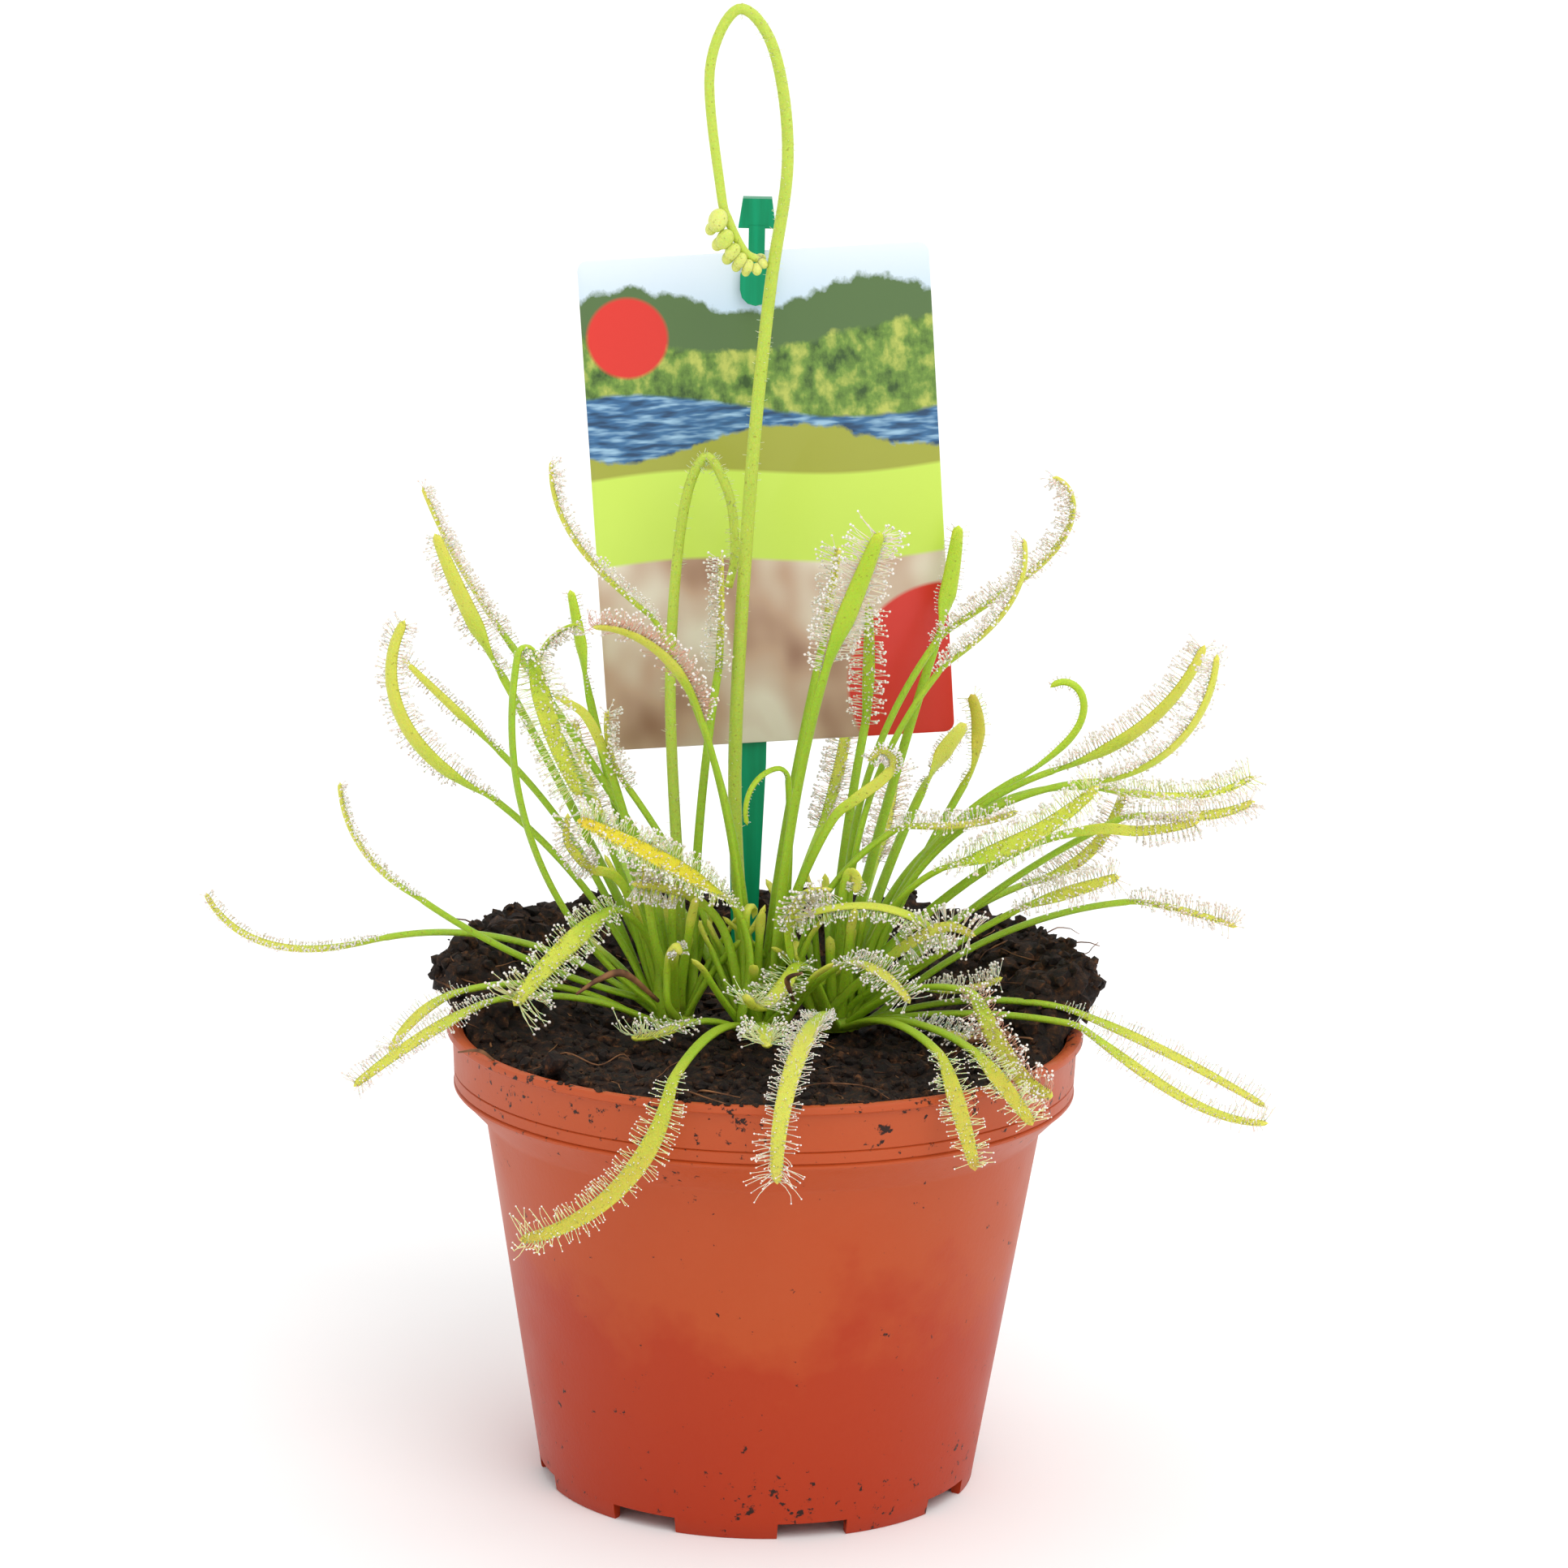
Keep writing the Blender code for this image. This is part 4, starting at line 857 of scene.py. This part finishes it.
class SUNDEW_OT_crown(bpy.types.Operator):
    """Build the crown's domes and its short inner leaves."""

    bl_idname = "sundew.crown"
    bl_label = "Crown"

    def execute(self, context):
        sizes = context.scene.sundew_sizes
        rng = random.Random(sizes.seed + 1)
        bm = bmesh.new()
        layer = bm.verts.layers.float.new("along")
        for x, y, radius in ROSETTES.values():
            ball = bmesh.ops.create_icosphere(bm, subdivisions=2, radius=radius * 0.5)["verts"]
            for vert in ball:
                vert.co = Vector((vert.co.x + x, vert.co.y + y, DOME_Z + max(vert.co.z, -0.3) * 0.8))
                vert[layer] = 0.02
        for name in ROSETTES:
            for k in range(INNER_LEAVES):
                curled = rng.choice((150, 250)) if k % 7 == 3 else rng.choice((-30, 0, 20))
                azimuth = 24 * k + rng.uniform(-9, 9)
                rise = rng.uniform(30, 84)
                length = rng.uniform(7, 20)
                knee = rise + rng.uniform(-10, 20)
                spec = leaf(name, azimuth, (azimuth, rise), length * 0.6, rise + 10, knee, length * 0.4, rise,
                            rise + curled, curl=1.5, width=1.5)
                add_leaf(bm, leaf_frames(spec, 0.7), spec)
        stamps = tentacle_stamps(sizes)
        for points, knee, width, reach in SMALL_LEAVES:
            frames = route_frames(points)
            total = frames[-1][0]
            spec = dict(petiole=total * knee, blade=total * (1 - knee), width=width, reach=(reach, reach))
            add_leaf(bm, frames, spec)
            if reach:
                add_tentacles(bm, frames, spec, stamps, sizes, rng)
        for stamp in stamps.values():
            stamp.drop()
        make_piece(bm, "sundew_crown", [LOOKS["leaf_green"], LOOKS["stalk"], LOOKS["dew"]], "crown")
        return {"FINISHED"}


class SUNDEW_OT_pot(bpy.types.Operator):
    """Turn the pot, cut its foot ring into feet and drill its drains."""

    bl_idname = "sundew.pot"
    bl_label = "Pot"

    def execute(self, context):
        bm = bmesh.new()
        verts = [bm.verts.new((r, 0, z)) for r, z in POT_PROFILE]
        edges = [bm.edges.new(pair) for pair in zip(verts, verts[1:])]
        bmesh.ops.spin(bm, geom=verts + edges, cent=(0, 0, 0), axis=(0, 0, 1), angle=2 * math.pi, steps=144,
                       use_merge=True, use_duplicate=False)
        bmesh.ops.remove_doubles(bm, verts=bm.verts, dist=0.01)
        bmesh.ops.recalc_face_normals(bm, faces=bm.faces)
        cutters = bmesh.new()
        drain = dict(cap_ends=True, segments=20, radius1=DRAIN_RADIUS, radius2=DRAIN_RADIUS, depth=8)
        for k in range(FOOT_COUNT):
            turn = Matrix.Rotation(math.radians(FIRST_FOOT_DEG + 360 / FOOT_COUNT * (k + 0.5)), 4, "Z")
            half = FOOT_RADIUS * math.sin(math.radians(FOOT_NOTCH_DEG / 2))
            cube = Matrix.Translation((FOOT_RADIUS, 0, 0)) @ Matrix.Diagonal((6, 2 * half, 4.6, 1))
            bmesh.ops.create_cube(cutters, size=1.0, matrix=turn @ cube)
            hole = turn @ Matrix.Translation((DRAIN_RING_RADIUS, 0, 3))
            bmesh.ops.create_cone(cutters, matrix=hole, **drain)
        bmesh.ops.create_cone(cutters, matrix=Matrix.Translation((0, 0, 3)), **drain)
        cutting = bpy.data.meshes.new("cutting")
        cutters.to_mesh(cutting)
        cutters.free()
        tool = bpy.data.objects.new("cutting", cutting)
        context.scene.collection.objects.link(tool)
        blank = bpy.data.meshes.new("blank")
        bm.to_mesh(blank)
        bm.free()
        body = bpy.data.objects.new("blank", blank)
        context.scene.collection.objects.link(body)
        modifier = body.modifiers.new("cut", "BOOLEAN")
        modifier.object = tool
        modifier.operation = "DIFFERENCE"
        modifier.solver = "EXACT"
        depsgraph = context.evaluated_depsgraph_get()
        cut = bpy.data.meshes.new_from_object(body.evaluated_get(depsgraph))
        bpy.data.objects.remove(body)
        bpy.data.objects.remove(tool)
        bm = bmesh.new()
        bm.from_mesh(cut)
        bpy.data.meshes.remove(cut)
        pot = make_piece(bm, "nursery_pot", [LOOKS["pot"]], "pot")
        pot.data.set_sharp_from_angle(angle=math.radians(38))
        return {"FINISHED"}


class SUNDEW_OT_peat(bpy.types.Operator):
    """Crumble the peat's surface and strew crumbs and fibres over it."""

    bl_idname = "sundew.peat"
    bl_label = "Peat"

    def execute(self, context):
        sizes = context.scene.sundew_sizes
        rng = random.Random(sizes.seed + 2)
        bm = bmesh.new()
        bm.from_mesh(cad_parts["peat"].data)
        bmesh.ops.transform(bm, matrix=Matrix.Translation((-POT_OFFSET_X, 0, 0)) @ Matrix.Scale(1 / MM, 4),
                            verts=bm.verts)
        bmesh.ops.remove_doubles(bm, verts=bm.verts, dist=0.01)
        for cuts in (2, 1):
            top = [e for e in bm.edges
                   if min(v.co.z for v in e.verts) > PEAT_LOOSE_Z - 1 and e.calc_length() > 1.6]
            bmesh.ops.subdivide_edges(bm, edges=top, cuts=cuts, use_grid_fill=True)
        bmesh.ops.triangulate(bm, faces=[f for f in bm.faces if len(f.verts) > 4])
        bm.normal_update()
        moves = []
        for vert in bm.verts:
            x, y, z = vert.co
            radius = math.hypot(x, y)
            keep = 1.0
            if z < PEAT_LOOSE_Z or (radius > PEAT_EDGE_RADIUS and z < 68.2):
                keep = 0.0
            if abs(x - STAKE_SPOT[0]) < 4.0 and abs(y - STAKE_SPOT[1]) < 2.5:
                keep = 0.0
            rough = (noise.noise(vert.co * 0.28) * 1.7 + noise.noise(vert.co * 0.8 + Vector((9, 0, 0))) * 1.1
                     - abs(noise.noise(vert.co * 1.9)) * 0.8)
            moves.append(vert.normal * (rough - 0.1) * keep * (1.0 if z > PEAT_CRUST_Z else 0.55))
        for vert, move in zip(bm.verts, moves):
            vert.co += move
        places = []
        for face in bm.faces:
            centre = face.calc_center_median()
            if centre.z > 62.0 and face.normal.length > 0.5 and face.normal.z > -0.25:
                places.append((centre, face.normal.copy(), face.calc_area()))
        make_piece(bm, "peat_block", [LOOKS["peat"]], "peat")
        self.strew(sizes, rng, places)
        return {"FINISHED"}

    def strew(self, sizes, rng, places):
        """Crumbs 0.4 to 3 mm across, clods, withered leaf tips and bent fibres on the peat."""
        stamps = []
        for k in range(14):
            bm = bmesh.new()
            bmesh.ops.create_icosphere(bm, subdivisions=1 + k // 7, radius=1.0)
            shift = Vector((k * 3.7, 0, 0))
            for vert in bm.verts:
                vert.co *= 1.0 + rng.uniform(-0.3, 0.2) + noise.noise(vert.co * 1.3 + shift) * 0.5 * (k // 7)
            bmesh.ops.scale(bm, vec=(1.0, rng.uniform(0.6, 1.0), rng.uniform(0.5, 0.85)), verts=bm.verts)
            stamps.append(Stamp(bm))
        weights = [area for _, _, area in places]
        bm = bmesh.new()
        for centre, normal, _ in rng.choices(places, weights, k=sizes.crumbs):
            size = 0.22 + 1.3 * rng.random() ** 2.6
            radius = math.hypot(centre.x, centre.y)
            if radius > 40.5 and centre.z < 68 and size > 0.35:
                size = 0.3
            spot = centre + Vector((rng.uniform(-0.7, 0.7), rng.uniform(-0.7, 0.7), 0)) + normal * size * 0.25
            axes = frame_along(normal, direction(rng.uniform(0, 360), rng.uniform(-50, 50)))
            rng.choice(stamps[:7]).put(bm, spot, axes, size)
        for centre, normal, _ in rng.choices(places, weights, k=sizes.clods * 3):
            crust = centre.z > PEAT_CRUST_Z
            size = rng.uniform(1.0, 2.9) if crust else rng.uniform(0.7, 1.5)
            if math.hypot(centre.x, centre.y) > 46 - size or rng.random() < (0.3 if crust else 0.8):
                continue
            axes = frame_along(normal, direction(rng.uniform(0, 360), rng.uniform(-50, 50)))
            rng.choice(stamps[7:]).put(bm, centre + normal * size * 0.15, axes, size)
        for _ in range(80):
            # Bits spilt on the rim, most of them at the front
            turn = math.radians(rng.gauss(-98, 20))
            radius = rng.uniform(42.0, 45.0)
            height = POT_HEIGHT + 0.05 if radius > 43.4 else POT_HEIGHT - 0.4
            spot = Vector((radius * math.cos(turn), radius * math.sin(turn), height))
            axes = frame_along(direction(rng.uniform(0, 360), 60), direction(rng.uniform(0, 360), 0))
            rng.choice(stamps[:7]).put(bm, spot, axes, rng.uniform(0.25, 0.7))
        stamps[8].put(bm, (-28.5, -28.0, 66.6), frame_along(Vector((0, 0, 1)), Vector((1, 0.4, 0))), 2.3)
        crumbs = make_piece(bm, "peat_crumbs", [LOOKS["peat"]], None)
        crumbs.data.set_sharp_from_angle(angle=math.radians(30))
        for stamp in stamps:
            stamp.drop()
        bm = bmesh.new()
        for centre, normal, _ in rng.choices(places, weights, k=sizes.fibres):
            if math.hypot(centre.x, centre.y) > 41 and centre.z < PEAT_CRUST_Z:
                continue
            heading = direction(rng.uniform(0, 360), rng.uniform(-5, 30))
            route = [centre + normal * 0.1]
            for _ in range(6):
                sway = Vector((rng.uniform(-1, 1), rng.uniform(-1, 1), rng.uniform(-0.8, 0.5)))
                heading = (heading + sway * 0.4).normalized()
                route.append(route[-1] + heading * rng.uniform(0.4, 1.5))
            thick = rng.uniform(0.08, 0.2)
            sweep(bm, route, [thick * (1 - 0.1 * i) for i in range(7)], 4)
        for points, thick in LITTER:
            route = smooth_path([Vector(p) for p in points], 5)
            radii = [thick * (1 - 0.6 * abs(2 * i / len(route) - 0.8)) for i in range(len(route))]
            sweep(bm, route, radii, 5)
        make_piece(bm, "peat_fibres", [LOOKS["fibre"]], None)


class SUNDEW_OT_scapes(bpy.types.Operator):
    """Build both flower stalks, with their hairs and the curled row of buds."""

    bl_idname = "sundew.scapes"
    bl_label = "Flower stalks"

    def execute(self, context):
        sizes = context.scene.sundew_sizes
        rng = random.Random(sizes.seed + 3)
        for name, points, thick, taper, foot, hairy in SCAPES:
            route = smooth_path([Vector(p) for p in points], 8)
            count = len(route) - 1
            radii = [thick - taper * i / count for i in range(count + 1)]
            bm = bmesh.new()
            sweep(bm, route, radii, 12, mark=lambda share: foot + 0.4 * share)
            if name == "tall":
                self.add_buds(bm)
            self.add_hairs(bm, route[6:int(count * hairy)], rng)
            make_piece(bm, "flower_stalk_" + name, [LOOKS["scape"], LOOKS["hair"]], "scape_" + name)
        return {"FINISHED"}

    def add_buds(self, bm):
        """Buds pressed together along the curled end, the oldest largest."""
        layer = bm.verts.layers.float.get("along")
        for x, y, z, size, lean in BUDS:
            ball = bmesh.ops.create_uvsphere(bm, u_segments=15, v_segments=9, radius=1.0)["verts"]
            for vert in ball:
                turn = math.atan2(vert.co.y, vert.co.x)
                lobes = 1.0 + 0.07 * math.cos(5 * turn) * (0.4 + 0.6 * max(vert.co.z, 0))
                vert.co = Vector((vert.co.x * lobes * 0.8, vert.co.y * lobes * 0.8, vert.co.z))
                vert[layer] = 1.0
            axes = frame_along(direction(180, lean), Vector((0, 1, 0)))
            turn = Matrix(axes).transposed().to_4x4()
            place = Matrix.Translation((x, y, z)) @ turn @ Matrix.Scale(size, 4)
            bmesh.ops.transform(bm, matrix=place, verts=ball)

    def add_hairs(self, bm, route, rng):
        """Short fine hairs all round a stretch of the stalk."""
        hair = bmesh.new()
        shaft = [Vector((0, 0, -0.1)), Vector((0, 0, 0.4)), Vector((0.08, 0, 0.85))]
        sweep(hair, shaft, [0.05, 0.035, 0.03], 3)
        for face in hair.faces:
            face.material_index = 1
        stamp = Stamp(hair)
        for _ in range(len(route) * 7):
            k = rng.randrange(len(route) - 1)
            at = route[k].lerp(route[k + 1], rng.random())
            tangent = (route[k + 1] - route[k]).normalized()
            around = frame_along(tangent, Vector((0, 1, 0)))
            turn = rng.uniform(0, 2 * math.pi)
            outward = around[0] * math.cos(turn) + around[1] * math.sin(turn)
            tilt = (outward + tangent * rng.uniform(-0.3, 0.3)).normalized()
            stamp.put(bm, at + outward * 0.62, frame_along(tilt, tangent), rng.uniform(0.6, 1.15))
        stamp.drop()


class SUNDEW_OT_label(bpy.types.Operator):
    """Build the printed card and give the stake its finish."""

    bl_idname = "sundew.label"
    bl_label = "Label"

    def execute(self, context):
        bm = bmesh.new()
        bmesh.ops.create_cube(bm, size=1.0)
        bmesh.ops.scale(bm, vec=(CARD_WIDTH, CARD_THICKNESS, CARD_HEIGHT), verts=bm.verts)
        upright = [e for e in bm.edges if abs(e.verts[0].co.y - e.verts[1].co.y) > CARD_THICKNESS / 2]
        bmesh.ops.bevel(bm, geom=upright, offset=CARD_CORNER, segments=6, affect="EDGES", profile=0.5,
                        material=-1)
        rim = [e for e in bm.edges if abs(e.verts[0].co.y - e.verts[1].co.y) < 0.01]
        bmesh.ops.bevel(bm, geom=rim, offset=0.12, segments=2, affect="EDGES", profile=0.5, material=-1)
        uv = bm.loops.layers.uv.new("UVMap")
        for face in bm.faces:
            if abs(face.normal.y) < 0.9 or face.normal.y > 0:
                face.material_index = 1
            for loop in face.loops:
                loop[uv].uv = (loop.vert.co.x / CARD_WIDTH + 0.5, loop.vert.co.z / CARD_HEIGHT + 0.5)
        bmesh.ops.rotate(bm, matrix=Matrix.Rotation(math.radians(-CARD_TURN_DEG), 3, "Y"), verts=bm.verts)
        bmesh.ops.translate(bm, vec=CARD_CENTRE, verts=bm.verts)
        card = make_piece(bm, "printed_label", [LOOKS["card"], LOOKS["card_edge"]], "label_card")
        card.data.set_sharp_from_angle(angle=math.radians(35))
        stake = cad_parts["label_stake"]
        stake.data.materials.clear()
        stake.data.materials.append(LOOKS["stake"])
        return {"FINISHED"}


class SUNDEW_OT_stage(bpy.types.Operator):
    """Set up the pale floor, the soft light and the camera at the photograph's angle."""

    bl_idname = "sundew.stage"
    bl_label = "Stage"

    def execute(self, context):
        scene = context.scene
        look = surface("studio_floor", Roughness=0.95, Base_Color=linear("#FAFAFA"))[0]
        bm = bmesh.new()
        bmesh.ops.create_grid(bm, x_segments=1, y_segments=1, size=FLOOR_REACH)
        mesh = bpy.data.meshes.new("studio_floor")
        bm.to_mesh(mesh)
        bm.free()
        mesh.materials.append(look)
        floor = bpy.data.objects.new("studio_floor", mesh)
        scene.collection.objects.link(floor)
        world = bpy.data.worlds.new("studio")
        world.use_nodes = True
        sky = world.node_tree.nodes["Background"]
        sky.inputs["Color"].default_value = linear("#FFFFFF")
        sky.inputs["Strength"].default_value = WORLD_STRENGTH
        scene.world = world
        for name, place, spread, power in LAMPS:
            lamp = bpy.data.lights.new(name, "SUN")
            lamp.angle = math.radians(spread)
            lamp.energy = power
            made = bpy.data.objects.new(name, lamp)
            made.location = Vector(place)
            made.rotation_euler = (-made.location).to_track_quat("-Z", "Y").to_euler()
            scene.collection.objects.link(made)
        lens = bpy.data.cameras.new("camera")
        lens.sensor_width = 36.0
        lens.lens = CAMERA_FOCAL / PHOTO_SIZE * 36.0
        lens.clip_start = 0.05
        lens.clip_end = 30.0
        camera = bpy.data.objects.new("camera", lens)
        camera.location = (CAMERA_X + POT_OFFSET_X * MM, -CAMERA_DISTANCE, CAMERA_HEIGHT)
        pitch = Matrix.Rotation(math.radians(90 - CAMERA_PITCH_DEG), 3, "X")
        roll = Matrix.Rotation(math.radians(CAMERA_ROLL_DEG), 3, "Z")
        camera.rotation_euler = (pitch @ roll).to_euler()
        scene.collection.objects.link(camera)
        scene.camera = camera
        scene.view_settings.view_transform = "Standard"
        return {"FINISHED"}


LOOKS = {}


def make_looks(colours):
    """Make every material once."""
    petiole, blade = colours.petiole, colours.blade
    LOOKS.update(
        pot=pot_material(colours.pot),
        peat=peat_material(),
        fibre=fibre_material("peat_fibre", "#472A1A", "#94663F"),
        leaf_green=leaf_material("leaf_green", petiole, "#AFC832", blade, "#D8D25C"),
        leaf_pale=leaf_material("leaf_pale", petiole, "#B2CE32", "#D3DC50", "#DCDC5C"),
        leaf_old=leaf_material("leaf_turning", petiole, "#B8C234", "#C8C044", "#BE9A42"),
        leaf_fresh=leaf_material("leaf_fresh", petiole, "#A2C52A", "#B4CE34", "#C6D440"),
        leaf_yellow=leaf_material("leaf_yellow", petiole, "#CCD02C", "#E4D430", "#DAC02C"),
        stalk=stalk_material("tentacle_stalk", "#E0E48C", "#F6E4D0", "#F0D0C2"),
        stalk_pale=stalk_material("tentacle_stalk_pale", "#D8E268", "#F0F0B4", "#FBF0D6"),
        stalk_red=stalk_material("tentacle_stalk_red", "#DDD6A0", "#DDAE9A", "#A04030"),
        dew=dew_material(),
        scape=leaf_material("flower_stalk_green", "#A4BE3E", "#B4CA48", "#C2D454", "#DCE27C"),
        hair=stalk_material("stalk_hair", "#DDE49A", "#EFEFC8", "#F2EEDC"),
        card=card_material(colours.lime, colours.red),
        card_edge=surface("card_white_plastic", Roughness=0.4, Base_Color=linear("#EFEFEA"))[0],
        stake=stake_material(colours.stake),
    )


class SUNDEW_PT_panel(bpy.types.Panel):
    """Lists the sizes, the colours and the builders."""

    bl_idname = "SUNDEW_PT_panel"
    bl_label = "Sundew"
    bl_space_type = "VIEW_3D"
    bl_region_type = "UI"
    bl_category = "Sundew"

    def draw(self, context):
        layout = self.layout
        for group in (context.scene.sundew_sizes, context.scene.sundew_colours):
            for name in group.__annotations__:
                layout.prop(group, name)
        for builder in BUILDERS:
            layout.operator(builder.bl_idname)


BUILDERS = (SUNDEW_OT_stage, SUNDEW_OT_pot, SUNDEW_OT_peat, SUNDEW_OT_crown, SUNDEW_OT_leaves,
            SUNDEW_OT_scapes, SUNDEW_OT_label)
CLASSES = (SundewSizes, SundewColours, *BUILDERS, SUNDEW_PT_panel)


def register():
    """Register the classes and hang the settings on the scene."""
    for each in CLASSES:
        bpy.utils.register_class(each)
    bpy.types.Scene.sundew_sizes = bpy.props.PointerProperty(type=SundewSizes)
    bpy.types.Scene.sundew_colours = bpy.props.PointerProperty(type=SundewColours)


def unregister():
    """Take the settings off the scene and unregister the classes."""
    del bpy.types.Scene.sundew_colours
    del bpy.types.Scene.sundew_sizes
    for each in reversed(CLASSES):
        bpy.utils.unregister_class(each)


def main():
    """Build every piece."""
    register()
    make_looks(bpy.context.scene.sundew_colours)
    for builder in BUILDERS:
        group, name = builder.bl_idname.split(".")
        getattr(getattr(bpy.ops, group), name)()


if __name__ == "__main__":
    main()
